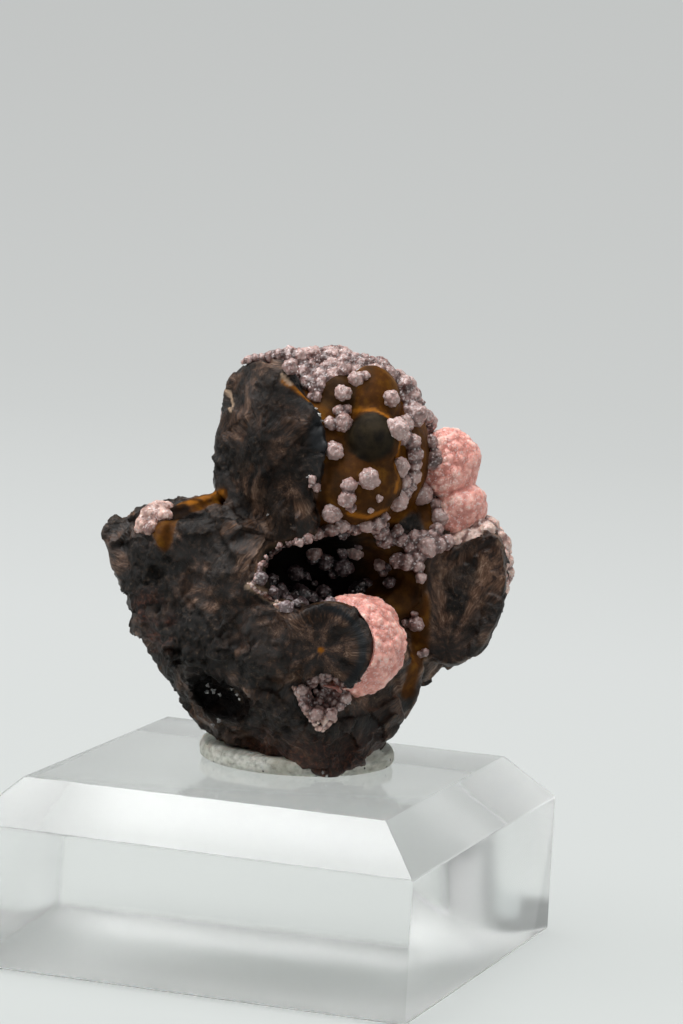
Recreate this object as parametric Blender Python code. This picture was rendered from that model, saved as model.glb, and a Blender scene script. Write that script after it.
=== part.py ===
# Rhodochrosite on goethite, pressed into a pad of putty on a clear acrylic block.
# Metres, +Z up. The origin is the middle of the block's underside, its front edge faces -Y.

import math
import random

import bmesh
import bpy
from mathutils import Matrix, Vector, noise

MM = 0.001
GAP = 0.3 * MM
SLIVERS = (0.02 * MM, 0.01 * MM, 0.005 * MM, 0.002 * MM)
SMOOTH_UP_TO = math.radians(32.0)

# The block, with its top edges bevelled at 45 degrees
BLOCK_SIDE = 50.0 * MM
BLOCK_HEIGHT = 20.0 * MM
BLOCK_BEVEL = 4.8 * MM

# The putty pad, and the lump of it pressed up against the stone's right side
PUTTY_CENTRE = (1.3 * MM, 4.5 * MM)
PUTTY_RADIUS = 10.8 * MM
PUTTY_THICKNESS = 2.0 * MM
PUTTY_EDGE = 0.6 * MM
PUTTY_LUMP_CENTRE = (9.0 * MM, 2.6 * MM, 21.6 * MM)
PUTTY_LUMP_RADII = (2.2 * MM, 4.2 * MM, 1.9 * MM)

# The stone is laid out as it is looked at, in millimetres from its middle:
# x to the right, y away from the viewer, z up. Then it is rolled, leant back, turned and set down.
STONE_MIDDLE = Vector((1.87, 3.90, 42.25)) * MM
STONE_TURN = math.radians(19.2)
STONE_LEAN = math.radians(-7.85)
STONE_ROLL = math.radians(-3.03)
STONE_BOTTOM = BLOCK_HEIGHT + 0.4 * MM

# Goethite: the dome, the wing on the right, the broken nodule in front, and the hollows
DOME_CENTRE = (1.7, 2.2, 11.6)
DOME_RADII = (11.4, 10.4, 10.4)
WING_CENTRE = (17.0, 1.6, -4.3)
WING_RADII = (4.2, 5.4, 7.6)
WING_TILT = 20.0
WING_BREAK = ((17.0, 0.2, -4.0), (-0.22, -0.97, 0.08))
NODULE_CENTRE = (2.2, -10.4, -9.0)
NODULE_RADIUS = 4.8
NODULE_BREAK = ((2.2, -11.9, -9.0), (-0.08, -0.99, 0.06))
CAVITY_CENTRE = (3.0, -4.6, -1.3)
CAVITY_RADII = (9.0, 8.6, 3.9)
CAVITY_TILT = 4.0
VUG_CENTRE = (1.6, -11.0, -14.2)
VUG_RADII = (2.7, 3.6, 2.4)

# The angular broken lumps of goethite, each the hull of its corners
DOME_FRONT_CORNERS = (
    (-7.0, -3.0, 21.4), (-5.1, -5.0, 21.5), (-2.1, -7.0, 19.5), (0.9, -9.0, 15.5), (1.8, -9.5, 12.3),
    (1.3, -9.5, 9.1), (0.5, -9.0, 5.9), (-0.8, -8.0, 3.3), (-4.2, -8.0, 2.2), (-10.5, -3.0, 7.8),
    (-10.5, -3.0, 10.3), (-10.0, -3.0, 13.0), (-8.8, -2.0, 16.8), (-8.6, -1.0, 19.7),
    (-4.7, -9.2, 12.9), (-9.8, 3.0, 8.0), (-9.4, 3.0, 16.5), (-5.0, 3.5, 21.0), (0.0, 0.0, 18.0),
    (0.0, 0.0, 5.0))
SHOULDER_CORNERS = (
    (-22.0, -0.5, 1.8), (-21.4, 1.0, 3.4), (-19.2, 0.5, 5.0), (-16.5, 1.5, 6.3), (-10.5, 3.0, 7.2),
    (-4.0, 0.0, 6.5), (-19.5, -3.6, 2.6), (-15.5, -5.4, 3.4), (-9.0, -7.4, 4.8), (-4.0, -8.4, 2.4),
    (-5.2, -9.2, -1.0), (-12.0, -7.2, -7.5), (-19.6, -2.5, -6.0), (-17.0, 7.0, 2.5), (-10.0, 10.0, 4.5),
    (-17.0, 6.0, -8.0), (-12.0, 11.0, -7.0), (-20.3, 0.0, -4.3), (-7.5, -8.4, -7.0))
BODY_CORNERS = (
    (-20.3, 0.0, -4.3), (-18.4, -0.5, -9.2), (-15.7, -1.0, -13.8), (-12.4, -1.0, -17.6),
    (-8.6, -0.5, -20.2), (-3.9, -1.0, -22.0), (-17.0, -5.0, -6.0), (-8.0, -9.2, -4.5),
    (-1.0, -9.6, -6.0), (-12.0, -6.5, -12.0), (-6.0, -8.8, -15.5), (1.3, -9.6, -17.6),
    (-0.4, -6.4, -21.2), (2.4, -6.2, -23.6), (9.0, -6.0, -9.5), (12.5, -1.0, -12.0),
    (11.4, -1.0, -15.1), (9.4, -1.2, -17.8), (6.3, -2.0, -21.2), (4.2, -4.4, -23.6),
    (-15.0, 8.0, -6.0), (-10.0, 11.0, -12.0), (-7.0, 10.0, -21.5), (4.0, 13.0, -8.0),
    (6.4, 8.0, -22.4), (12.0, 8.0, -8.0), (5.4, 1.4, -23.2), (-5.0, 4.0, -22.6))
BACK_CORNERS = (
    (-12.0, 3.0, 5.0), (-11.0, 9.0, 3.5), (-6.0, 12.5, 4.5), (2.0, 13.6, 3.0), (9.0, 12.4, 4.4),
    (14.0, 8.0, 5.0), (15.4, 4.0, 2.0), (14.6, 9.0, -4.0), (8.0, 13.4, -5.0), (-2.0, 13.8, -6.0),
    (-10.0, 11.0, -7.0), (-13.0, 4.0, -7.0), (12.0, 8.0, -11.0), (0.0, 12.4, -13.0),
    (10.0, 10.0, -13.0), (12.0, 0.0, -6.0), (-8.0, -1.0, -9.0), (10.0, 0.0, 6.0), (-6.0, 0.0, 7.0))
LOW_LEDGE_CORNERS = (
    (-16.6, -4.8, -5.6), (-9.0, -8.8, -6.4), (-7.8, -9.9, -9.6), (-15.0, -5.8, -10.6),
    (-12.0, -3.0, -5.0), (-12.0, -3.0, -11.0))
RIGHT_FLAKE_CORNERS = (
    (3.4, -8.6, -17.6), (9.9, -4.4, -14.2), (10.5, -3.0, -17.0), (5.2, -6.4, -20.8),
    (5.0, -2.0, -17.0), (8.0, -1.0, -16.0))
CHUNK_CORNERS = (
    DOME_FRONT_CORNERS, SHOULDER_CORNERS, BODY_CORNERS, BACK_CORNERS, LOW_LEDGE_CORNERS, RIGHT_FLAKE_CORNERS)
CHUNK_LONGEST_EDGE = 4.6
CHUNK_WAVE_LENGTHS = (3.1, 1.7)
CHUNK_WAVE_HEIGHTS = (0.5, 0.3)

# The rounded lumps of goethite between them: centre, radii and the planes they are broken along
ROUND_LUMPS = (
    ((12.2, 6.0, -2.5), (3.6, 6.4, 11.2), ()),
    ((14.6, 6.2, 2.4), (3.8, 4.6, 5.4), ()),
    ((13.6, 7.5, -5.5), (4.4, 4.5, 6.5), ()),
    ((-3.4, -6.8, -8.2), (5.2, 4.4, 5.2), (((-3.4, -10.4, -8.0), (0.1, -1.0, 0.1)),)),
    ((-2.4, -5.4, 4.6), (3.4, 3.6, 4.6), ()),
    ((-12.2, -3.6, 1.8), (4.4, 3.8, 3.4), (((-12.0, -6.8, 2.0), (-0.1, -1.0, 0.0)),)),
    ((-7.2, -6.8, -1.6), (3.6, 3.4, 4.0), (((-7.2, -9.6, -1.6), (-0.2, -1.0, 0.1)),)))

# The ochre botryoids in the dome's window and on the cavity's right wall
BOTRYOIDS = (
    ((6.9, -6.4, 13.2), (3.0, 3.0, 3.0)), ((4.8, -4.2, 8.4), (5.2, 5.2, 5.2)),
    ((6.6, -4.2, 17.0), (3.2, 3.4, 4.0)), ((3.2, -3.4, 17.6), (3.0, 3.8, 3.2)),
    ((9.7, -1.6, -3.5), (2.5, 2.5, 2.5)))

# The cavity runs on down its right wall and up towards the window; the pits are small: centre, radii, tilt
CAVITY_ARMS = (((9.8, -6.0, -2.4), (3.2, 6.4, 6.8), 0.0), ((11.0, -6.4, 4.0), (3.0, 4.6, 3.4), 0.0))
PITS = (
    ((-10.4, -7.4, -15.0), (3.8, 4.4, 2.3), 20.0), ((-13.6, -5.4, 6.0), (3.6, 1.6, 1.5), -15.0),
    ((-16.8, -5.4, -1.6), (1.4, 1.4, 1.4), 0.0), ((-12.6, -7.6, -12.4), (1.6, 1.6, 1.6), 0.0),
    ((-3.6, -10.6, -14.2), (1.3, 1.3, 1.3), 0.0))

# Rhodochrosite: the crust over the dome, the lining of the hollows, and the pink balls
CRUST_THICKNESS = 1.0
CRUST_BEADS = 140
CRUST_BEAD_RADII = (1.4, 1.8)
CRUST_RAGGED_EDGE = 2.4
CRUST_WINDOW_CENTRE = (4.5, -10.0, 9.4)
CRUST_WINDOW_RADII = (6.3, 7.6, 10.4)
CRUST_LOWER_EDGE = ((0.0, 0.0, 3.2), (0.0, -0.2, -0.98))
CRUST_LEFT_EDGE = ((-8.8, 3.0, 14.0), (-0.95, -0.30, 0.0))
LINING_THICKNESS = 1.0
CAVITY_LINING_EDGES = (((0.0, -4.5, 0.0), (0.0, -1.0, 0.0)), ((0.0, 0.0, 0.6), (-0.2, 0.1, 0.97)))
CAVITY_BEAD_DEPTH = 0.8
VUG_LINING_EDGE = ((0.0, -9.4, 0.0), (0.0, -1.0, 0.0))
FRONT_BALL_CENTRE = (5.3, -7.2, -8.7)
FRONT_BALL_RADIUS = 5.4
SIDE_BALLS = (((16.4, 4.0, 10.6), 3.6), ((17.3, 3.6, 5.4), 3.0))
BALL_BUMP_WIDTH = 1.9
BALL_BUMP_HEIGHT = 0.45
WING_CRUST_CENTRE = (17.3, 4.6, -0.6)
WING_CRUST_RADII = (4.9, 4.4, 6.2)
WING_CRUST_EDGE = ((17.0, 0.9, -4.0), (-0.22, -0.97, 0.08))
SHOULDER_PATCH = ((-17.2, -2.6, 4.7, 1.9), (-15.7, -3.0, 5.4, 1.5), (-18.6, -2.4, 3.6, 1.3))

# Beads of rhodochrosite that stand alone in the dome's window: x, y, z and radius
WINDOW_BEADS = (
    (3.5, -7.6, 18.2, 1.05), (2.9, -6.6, 21.0, 1.2), (4.3, -6.4, 20.9, 1.0), (5.2, -6.6, 19.9, 0.95),
    (3.7, -8.1, 15.4, 1.1), (2.4, -8.3, 14.6, 0.85), (2.6, -9.0, 11.9, 1.05),
    (6.2, -9.0, 9.0, 1.25), (4.3, -9.5, 8.2, 0.95), (4.1, -9.3, 6.8, 1.05), (2.7, -8.9, 5.0, 1.15),
    (0.8, -8.2, 3.0, 0.9), (2.4, -8.3, 3.4, 0.95), (4.0, -8.2, 3.4, 0.9), (5.4, -7.8, 3.5, 0.9),
    (6.8, -7.2, 4.2, 0.9), (8.2, -6.6, 5.0, 1.0))

# The chain of beads from the crust's right side down into the cavity: x, y, z and radius
CHAIN_BEADS = (
    (12.9, -4.6, 9.2, 1.2), (13.2, -3.8, 7.6, 1.2), (13.4, -3.2, 6.0, 1.2), (13.6, -2.8, 4.4, 1.2),
    (13.7, -2.4, 2.8, 1.2), (12.6, -2.4, 1.6, 1.2), (11.2, -2.2, 0.8, 1.1), (12.0, -2.2, 3.2, 1.1),
    (10.6, -1.8, 3.6, 1.1), (9.2, -1.6, 4.3, 1.0))

# The beads on the cavity's back wall and floor: x, z and radius
CAVITY_BEADS = (
    (1.6, -0.2, 1.1), (-1.6, -1.4, 1.0), (3.5, -0.9, 1.1), (7.4, -0.6, 0.9), (-3.2, -3.5, 1.1),
    (-4.4, -2.8, 1.0), (-1.0, -4.0, 1.1), (0.8, -4.5, 0.9))


def remove_everything():
    for thing in list(bpy.data.objects):
        bpy.data.objects.remove(thing, do_unlink=True)


def principled(name, colour, roughness, metallic=0.0, transmission=0.0, ior=1.5):
    material = bpy.data.materials.new(name)
    material.use_nodes = True
    shader = material.node_tree.nodes["Principled BSDF"]
    shader.inputs["Base Color"].default_value = (*colour, 1.0)
    shader.inputs["Roughness"].default_value = roughness
    shader.inputs["Metallic"].default_value = metallic
    shader.inputs["Transmission Weight"].default_value = transmission
    shader.inputs["IOR"].default_value = ior
    return material


def stone_place():
    """From the stone's layout, in metres, to where it stands on the block."""
    return (Matrix.Translation(STONE_MIDDLE) @ Matrix.Rotation(STONE_TURN, 4, "Z")
            @ Matrix.Rotation(STONE_LEAN, 4, "X") @ Matrix.Rotation(STONE_ROLL, 4, "Y"))


def push_faces(mesh, distance):
    """Move every face outwards by the same distance, or inwards if it is negative."""
    mesh.normal_update()
    moves = [vert.normal * vert.calc_shell_factor() * distance for vert in mesh.verts]
    for vert, move in zip(mesh.verts, moves):
        vert.co += move


def break_off(mesh, plane):
    """What lies beyond the plane, a point and a direction in the layout, goes; the hole is filled."""
    point, direction = plane
    geometry = mesh.verts[:] + mesh.edges[:] + mesh.faces[:]
    cut = bmesh.ops.bisect_plane(
        mesh, geom=geometry, dist=1e-7, clear_outer=True,
        plane_co=Vector(point) * MM, plane_no=Vector(direction))
    rim = [item for item in cut["geom_cut"] if isinstance(item, bmesh.types.BMEdge)]
    if rim:
        bmesh.ops.contextual_create(mesh, geom=rim)


def ball(centre, radii, detail=3, tilt=0.0, breaks=()):
    """A nodule in the stone's layout: an ellipsoid, tilted about y, with its broken faces."""
    if not isinstance(radii, tuple):
        radii = (radii, radii, radii)
    mesh = bmesh.new()
    bmesh.ops.create_icosphere(mesh, subdivisions=detail, radius=MM)
    place = (Matrix.Translation(Vector(centre) * MM) @ Matrix.Rotation(math.radians(tilt), 4, "Y")
             @ Matrix.Diagonal((*radii, 1.0)))
    bmesh.ops.transform(mesh, matrix=place, verts=mesh.verts)
    for plane in breaks:
        break_off(mesh, plane)
    return mesh


def bumpy_ball(centre, radius, detail):
    """A ball covered with low rounded bumps, like a raspberry."""
    mesh = ball(centre, radius, detail)
    middle = Vector(centre) * MM
    for vert in mesh.verts:
        outwards = (vert.co - middle).normalized()
        nearest = noise.voronoi(vert.co / (BALL_BUMP_WIDTH * MM))[0][0]
        vert.co += outwards * (0.5 - nearest) * 2.0 * BALL_BUMP_HEIGHT * MM
    return mesh


def chunk(corners):
    """An angular broken lump: the hull of its corners, with an uneven surface."""
    mesh = bmesh.new()
    for corner in corners:
        mesh.verts.new(Vector(corner) * MM)
    hull = bmesh.ops.convex_hull(mesh, input=mesh.verts[:])
    inside = [item for item in hull["geom_interior"] if isinstance(item, bmesh.types.BMVert)]
    bmesh.ops.delete(mesh, geom=inside, context="VERTS")
    bmesh.ops.triangulate(mesh, faces=mesh.faces[:])
    long_edges = mesh.edges[:]
    while long_edges:
        long_edges = [edge for edge in mesh.edges if edge.calc_length() > CHUNK_LONGEST_EDGE * MM]
        bmesh.ops.subdivide_edges(mesh, edges=long_edges, cuts=1)
        bmesh.ops.triangulate(mesh, faces=mesh.faces[:])
    mesh.normal_update()
    moves = []
    for vert in mesh.verts:
        wave = 0.0
        for length, height in zip(CHUNK_WAVE_LENGTHS, CHUNK_WAVE_HEIGHTS):
            wave += height * noise.noise(vert.co / (length * MM))
        moves.append(vert.normal * wave * MM)
    for vert, move in zip(mesh.verts, moves):
        vert.co += move
    return mesh


def under_the_stone():
    """A slab whose top is the level of the stone's flat bottom, in the stone's layout."""
    mesh = bmesh.new()
    bmesh.ops.create_cube(mesh, size=BLOCK_SIDE)
    lowered = Matrix.Translation((0.0, 0.0, STONE_BOTTOM - 0.5 * BLOCK_SIDE))
    bmesh.ops.transform(mesh, matrix=stone_place().inverted() @ lowered, verts=mesh.verts)
    return mesh


def make_object(name, mesh):
    data = bpy.data.meshes.new(name)
    mesh.to_mesh(data)
    mesh.free()
    thing = bpy.data.objects.new(name, data)
    bpy.context.scene.collection.objects.link(thing)
    return thing


def copy_of(thing):
    twin = thing.copy()
    twin.data = thing.data.copy()
    bpy.context.scene.collection.objects.link(twin)
    return twin


def apply_modifiers(thing):
    graph = bpy.context.evaluated_depsgraph_get()
    result = bpy.data.meshes.new_from_object(thing.evaluated_get(graph))
    thing.modifiers.clear()
    thing.data = result


def combine(base, others, operation):
    """One Boolean of the base with all the others, which it uses up."""
    if not others:
        return
    group = bpy.data.collections.new("cutters")
    bpy.context.scene.collection.children.link(group)
    for other in others:
        other.hide_render = True
        other.display_type = "WIRE"
        group.objects.link(other)
    modifier = base.modifiers.new("combine", "BOOLEAN")
    modifier.operand_type = "COLLECTION"
    modifier.collection = group
    modifier.operation = operation
    modifier.solver = "EXACT"
    apply_modifiers(base)
    bpy.data.collections.remove(group)
    for other in others:
        bpy.data.objects.remove(other, do_unlink=True)


def bodies_of(mesh):
    """The separate bodies of a mesh, each as a list of its faces."""
    left = set(mesh.faces)
    found = []
    while left:
        start = left.pop()
        body = [start]
        queue = [start]
        while queue:
            face = queue.pop()
            for edge in face.edges:
                for neighbour in edge.link_faces:
                    if neighbour in left:
                        left.remove(neighbour)
                        body.append(neighbour)
                        queue.append(neighbour)
        found.append(body)
    return found


def tidy(thing, keep):
    """Thin out the slivers that the cuts leave, and keep only the one large body."""
    for sliver in SLIVERS:
        mesh = bmesh.new()
        mesh.from_mesh(thing.data)
        bmesh.ops.remove_doubles(mesh, verts=mesh.verts, dist=sliver)
        bmesh.ops.dissolve_degenerate(mesh, edges=mesh.edges, dist=sliver)
        if all(edge.is_manifold for edge in mesh.edges):
            break
    for body in sorted(bodies_of(mesh), key=len)[:-1]:
        bmesh.ops.delete(mesh, geom=body, context="FACES")
    bmesh.ops.triangulate(mesh, faces=mesh.faces[:])
    mesh.to_mesh(thing.data)
    mesh.free()
    thinning = thing.modifiers.new("thin", "DECIMATE")
    thinning.ratio = keep
    thinning.use_collapse_triangulate = True
    apply_modifiers(thing)


def solid(name, adds, cuts=(), grow=0.0, gap_to=(), keep=0.54):
    """Union of the adds less the cuts, all pushed out by grow, and cut back from what it must clear."""
    pieces = []
    for number, mesh in enumerate(adds):
        push_faces(mesh, grow)
        pieces.append(make_object(f"{name}_add_{number}", mesh))
    hollows = [copy_of(thing) for thing in gap_to]
    for number, mesh in enumerate(cuts):
        push_faces(mesh, -grow)
        hollows.append(make_object(f"{name}_cut_{number}", mesh))
    result = pieces[0]
    result.name = name
    combine(result, pieces[1:], "UNION")
    combine(result, hollows, "DIFFERENCE")
    tidy(result, 1.0 if grow else keep)
    return result


def spread(centre, radii, count):
    """Points spread evenly over an ellipsoid, with a little disorder, each with a random number."""
    dice = random.Random(count)
    golden = math.pi * (3.0 - math.sqrt(5.0))
    points = []
    for index in range(count):
        height = 1.0 - 2.0 * (index + 0.5) / count
        ring = math.sqrt(1.0 - height * height)
        angle = golden * index + dice.uniform(-0.2, 0.2)
        direction = (ring * math.cos(angle), ring * math.sin(angle), height)
        offset = [part * radius for part, radius in zip(direction, radii)]
        points.append((Vector(centre) + Vector(offset), dice.random()))
    return points


def is_beyond(point, plane):
    return (Vector(point) - Vector(plane[0])).dot(Vector(plane[1])) > 0.0


def is_inside(point, centre, radii):
    away = Vector(point) - Vector(centre)
    return sum((part / radius) ** 2 for part, radius in zip(away, radii)) < 1.0


def goethite(name, grow=0.0):
    """The fibrous matrix: botryoidal in its hollows, broken across its fibres everywhere else."""
    adds = [ball(DOME_CENTRE, DOME_RADII)]
    adds += [chunk(corners) for corners in CHUNK_CORNERS]
    adds += [ball(centre, radii, breaks=breaks) for centre, radii, breaks in ROUND_LUMPS]
    adds.append(ball(WING_CENTRE, WING_RADII, tilt=WING_TILT, breaks=(WING_BREAK,)))
    adds.append(ball(NODULE_CENTRE, NODULE_RADIUS, breaks=(NODULE_BREAK,)))
    adds += [ball(centre, radii) for centre, radii in BOTRYOIDS]
    adds += [ball(centre, radius, detail=2) for *centre, radius in WINDOW_BEADS]
    cuts = [ball(CAVITY_CENTRE, CAVITY_RADII, tilt=CAVITY_TILT), ball(VUG_CENTRE, VUG_RADII, detail=2)]
    cuts += [ball(centre, radii, tilt=tilt) for centre, radii, tilt in CAVITY_ARMS]
    cuts += [ball(centre, radii, detail=2, tilt=tilt) for centre, radii, tilt in PITS]
    cuts.append(under_the_stone())
    return solid(name, adds, cuts, grow)


def dome_crust(name, near_matrix, grow=0.0):
    """Beads grown together over the dome's crest, its right side and its back."""
    outer = tuple(radius + CRUST_THICKNESS for radius in DOME_RADII)
    edges = (CRUST_LOWER_EDGE, CRUST_LEFT_EDGE)
    adds = [ball(DOME_CENTRE, outer, breaks=edges)]
    for point, number in spread(DOME_CENTRE, outer, CRUST_BEADS):
        over_the_edge = Vector(point) + Vector((0.0, 0.0, CRUST_RAGGED_EDGE * number))
        off_the_edge = is_beyond(over_the_edge, CRUST_LOWER_EDGE) or is_beyond(point, CRUST_LEFT_EDGE)
        if off_the_edge or is_inside(point, CRUST_WINDOW_CENTRE, CRUST_WINDOW_RADII):
            continue
        smallest, largest = CRUST_BEAD_RADII
        inwards = (Vector(DOME_CENTRE) - point).normalized() * CRUST_THICKNESS
        adds.append(ball(point + inwards, smallest + (largest - smallest) * number, detail=2))
    for *centre, radius in CHAIN_BEADS:
        adds.append(ball(centre, radius, detail=1))
    window = ball(CRUST_WINDOW_CENTRE, CRUST_WINDOW_RADII)
    return solid(name, adds, [window], grow, [near_matrix], keep=0.32)


def cavity_lining(name, gap_to):
    """The dark crust on the cavity's back wall and floor, with its beads."""
    inner = tuple(radius - LINING_THICKNESS for radius in CAVITY_RADII)
    outside = ball(CAVITY_CENTRE, CAVITY_RADII, tilt=CAVITY_TILT, breaks=CAVITY_LINING_EDGES)
    sheet = solid(name + "_sheet", [outside], [ball(CAVITY_CENTRE, inner, detail=2, tilt=CAVITY_TILT)])
    beads = []
    for x, z, radius in CAVITY_BEADS:
        across = (x - CAVITY_CENTRE[0]) / CAVITY_RADII[0]
        height = (z - CAVITY_CENTRE[2]) / CAVITY_RADII[2]
        depth = math.sqrt(max(0.0, 1.0 - across * across - height * height))
        centre = (x, CAVITY_CENTRE[1] + CAVITY_BEAD_DEPTH * depth * CAVITY_RADII[1], z)
        beads.append(make_object(name + "_bead", ball(centre, radius, detail=2)))
    combine(sheet, beads, "UNION")
    combine(sheet, [copy_of(thing) for thing in gap_to], "DIFFERENCE")
    tidy(sheet, 0.45)
    sheet.name = name
    return sheet


def vug_lining(name, near_matrix):
    """The pale crystals that line the small vug under the nodule, standing up along its rim."""
    inner = tuple(radius - LINING_THICKNESS for radius in VUG_RADII)
    lining = [ball(VUG_CENTRE, VUG_RADII, detail=2, breaks=(VUG_LINING_EDGE,))]
    hollow = [ball(VUG_CENTRE, inner, detail=2)]
    return solid(name, lining, hollow, 0.0, [near_matrix])


def putty_pad(name, near_matrix):
    """A thick disc of putty, pressed out flat and pushed up against the stone on its right."""
    height = PUTTY_THICKNESS - GAP
    mesh = bmesh.new()
    bmesh.ops.create_cone(
        mesh, cap_ends=True, segments=40, radius1=PUTTY_RADIUS, radius2=PUTTY_RADIUS, depth=height)
    middle = Vector((*PUTTY_CENTRE, BLOCK_HEIGHT + GAP + 0.5 * height))
    bmesh.ops.translate(mesh, verts=mesh.verts, vec=middle)
    rims = [edge for edge in mesh.edges if abs(edge.verts[0].co.z - edge.verts[1].co.z) < 0.1 * MM]
    bmesh.ops.bevel(mesh, geom=rims, offset=PUTTY_EDGE, segments=2, profile=0.5, affect="EDGES", material=-1)
    pad = make_object(name, mesh)
    lump = bmesh.new()
    bmesh.ops.create_icosphere(lump, subdivisions=3, radius=1.0)
    place = Matrix.Translation(PUTTY_LUMP_CENTRE) @ Matrix.Diagonal((*PUTTY_LUMP_RADII, 1.0))
    bmesh.ops.transform(lump, matrix=place, verts=lump.verts)
    under = [vert for vert in lump.verts if vert.co.z < BLOCK_HEIGHT + 2.0 * GAP]
    for vert in under:
        vert.co.z = BLOCK_HEIGHT + 2.0 * GAP
    combine(pad, [make_object("putty_lump", lump)], "UNION")
    combine(pad, [copy_of(near_matrix)], "DIFFERENCE")
    tidy(pad, 0.8)
    return pad


def acrylic_block(name):
    mesh = bmesh.new()
    bmesh.ops.create_cube(mesh, size=1.0)
    bmesh.ops.scale(mesh, vec=(BLOCK_SIDE, BLOCK_SIDE, BLOCK_HEIGHT), verts=mesh.verts)
    bmesh.ops.translate(mesh, vec=(0.0, 0.0, 0.5 * BLOCK_HEIGHT), verts=mesh.verts)
    top = [edge for edge in mesh.edges if all(vert.co.z > 0.5 * BLOCK_HEIGHT for vert in edge.verts)]
    bmesh.ops.bevel(mesh, geom=top, offset=BLOCK_BEVEL, segments=1, profile=0.5, affect="EDGES", material=-1)
    return make_object(name, mesh)


def main():
    remove_everything()
    black = principled("goethite", (0.030, 0.024, 0.020), 0.6)
    lilac = principled("lilac_rhodochrosite", (0.40, 0.27, 0.29), 0.55)
    pink = principled("pink_rhodochrosite", (0.80, 0.33, 0.28), 0.5)
    plum = principled("plum_rhodochrosite", (0.12, 0.07, 0.08), 0.55)
    putty = principled("mineral_putty", (0.52, 0.51, 0.46), 0.8)
    acrylic = principled("clear_acrylic", (0.95, 0.97, 0.96), 0.03, transmission=1.0, ior=1.49)

    matrix = goethite("goethite_matrix")
    near_matrix = goethite("near_matrix", GAP)
    crust = dome_crust("dome_crust", near_matrix)
    near_crust = dome_crust("near_crust", near_matrix, GAP)
    side_meshes = [bumpy_ball(centre, radius, 3) for centre, radius in SIDE_BALLS]
    side_balls = solid("side_balls", side_meshes, gap_to=[near_matrix, near_crust])
    near_side = solid("near_side", [bumpy_ball(centre, radius, 3) for centre, radius in SIDE_BALLS], grow=GAP)
    front_mesh = bumpy_ball(FRONT_BALL_CENTRE, FRONT_BALL_RADIUS, 4)
    front_ball = solid("front_ball", [front_mesh], gap_to=[near_matrix])
    near_front = solid("near_front", [ball(FRONT_BALL_CENTRE, FRONT_BALL_RADIUS + BALL_BUMP_HEIGHT)], grow=GAP)
    wing_crust = solid(
        "wing_crust", [ball(WING_CRUST_CENTRE, WING_CRUST_RADII, breaks=(WING_CRUST_EDGE,))],
        gap_to=[near_matrix, near_crust, near_side])
    patch = solid(
        "shoulder_patch", [ball(centre, radius, detail=2) for *centre, radius in SHOULDER_PATCH],
        gap_to=[near_matrix])
    cavity = cavity_lining("cavity_lining", [near_matrix, near_front])
    vug = vug_lining("vug_lining", near_matrix)

    stone = ((matrix, black), (crust, lilac), (side_balls, pink), (front_ball, pink), (wing_crust, lilac),
             (patch, pink), (cavity, plum), (vug, lilac))
    for thing, material in stone:
        thing.data.materials.clear()
        thing.data.materials.append(material)
        thing.data.transform(stone_place())
    near_matrix.data.transform(stone_place())
    pad = putty_pad("putty_pad", near_matrix)
    pad.data.materials.append(putty)
    block = acrylic_block("acrylic_block")
    block.data.materials.append(acrylic)
    for guide in (near_matrix, near_crust, near_side, near_front):
        bpy.data.objects.remove(guide, do_unlink=True)
    for thing in bpy.data.objects:
        thing.data.shade_smooth()
        thing.data.set_sharp_from_angle(angle=SMOOTH_UP_TO)


main()
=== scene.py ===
import math
import random
import time

import bmesh
import bpy
import numpy as np
from mathutils import Matrix, Vector, kdtree, noise
from mathutils.bvhtree import BVHTree


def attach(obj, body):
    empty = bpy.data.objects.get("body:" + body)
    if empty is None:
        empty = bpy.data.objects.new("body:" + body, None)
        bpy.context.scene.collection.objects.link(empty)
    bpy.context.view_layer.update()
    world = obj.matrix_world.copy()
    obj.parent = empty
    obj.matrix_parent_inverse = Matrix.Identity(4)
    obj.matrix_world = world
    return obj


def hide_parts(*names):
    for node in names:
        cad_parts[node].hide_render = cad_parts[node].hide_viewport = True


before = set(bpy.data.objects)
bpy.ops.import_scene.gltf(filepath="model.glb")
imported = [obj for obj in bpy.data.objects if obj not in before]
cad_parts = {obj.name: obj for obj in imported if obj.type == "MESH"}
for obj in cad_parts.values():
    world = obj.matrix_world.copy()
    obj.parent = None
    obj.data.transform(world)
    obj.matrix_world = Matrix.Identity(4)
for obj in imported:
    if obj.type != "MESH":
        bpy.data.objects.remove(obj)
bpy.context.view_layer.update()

# Rhodochrosite on goethite, pressed into a pad of putty on a clear acrylic block.
# The stone is laid out in millimetres as it is looked at: x to the right, y away from the viewer, z up,
# from its middle. stonePlace then turns it, leans it back and sets it down on the block, in metres.

mm = 0.001
startTime = time.time()

stone = {
    "middle": (1.87, 3.90, 42.25),
    "turn": 19.2, "lean": -7.85, "roll": -3.03,      # degrees
    "bottom": 20.4,                                  # height of its flat underside
    "viewDistance": 478.11,
    "photoMiddle": (310.0, 560.0),                   # where its middle lies in the photograph, pixels
    "pixelsAcross": 4410.0,                          # pixels of a width equal to its distance
}

stonePlace = (Matrix.Translation(Vector(stone["middle"]) * mm)
              @ Matrix.Rotation(math.radians(stone["turn"]), 4, "Z")
              @ Matrix.Rotation(math.radians(stone["lean"]), 4, "X")
              @ Matrix.Rotation(math.radians(stone["roll"]), 4, "Y") @ Matrix.Scale(mm, 4))
fromBlock = stonePlace.inverted() @ Matrix.Scale(mm, 4)     # from millimetres on the block to the stone's own


def stage(words):
    print(f"{time.time() - startTime:6.1f} s  {words}")


# Shapes

def joinShells(shells):
    whole = bmesh.new()
    for shell in shells:
        data = bpy.data.meshes.new("shell")
        shell.to_mesh(data)
        shell.free()
        whole.from_mesh(data)
        bpy.data.meshes.remove(data)
    return whole


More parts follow.
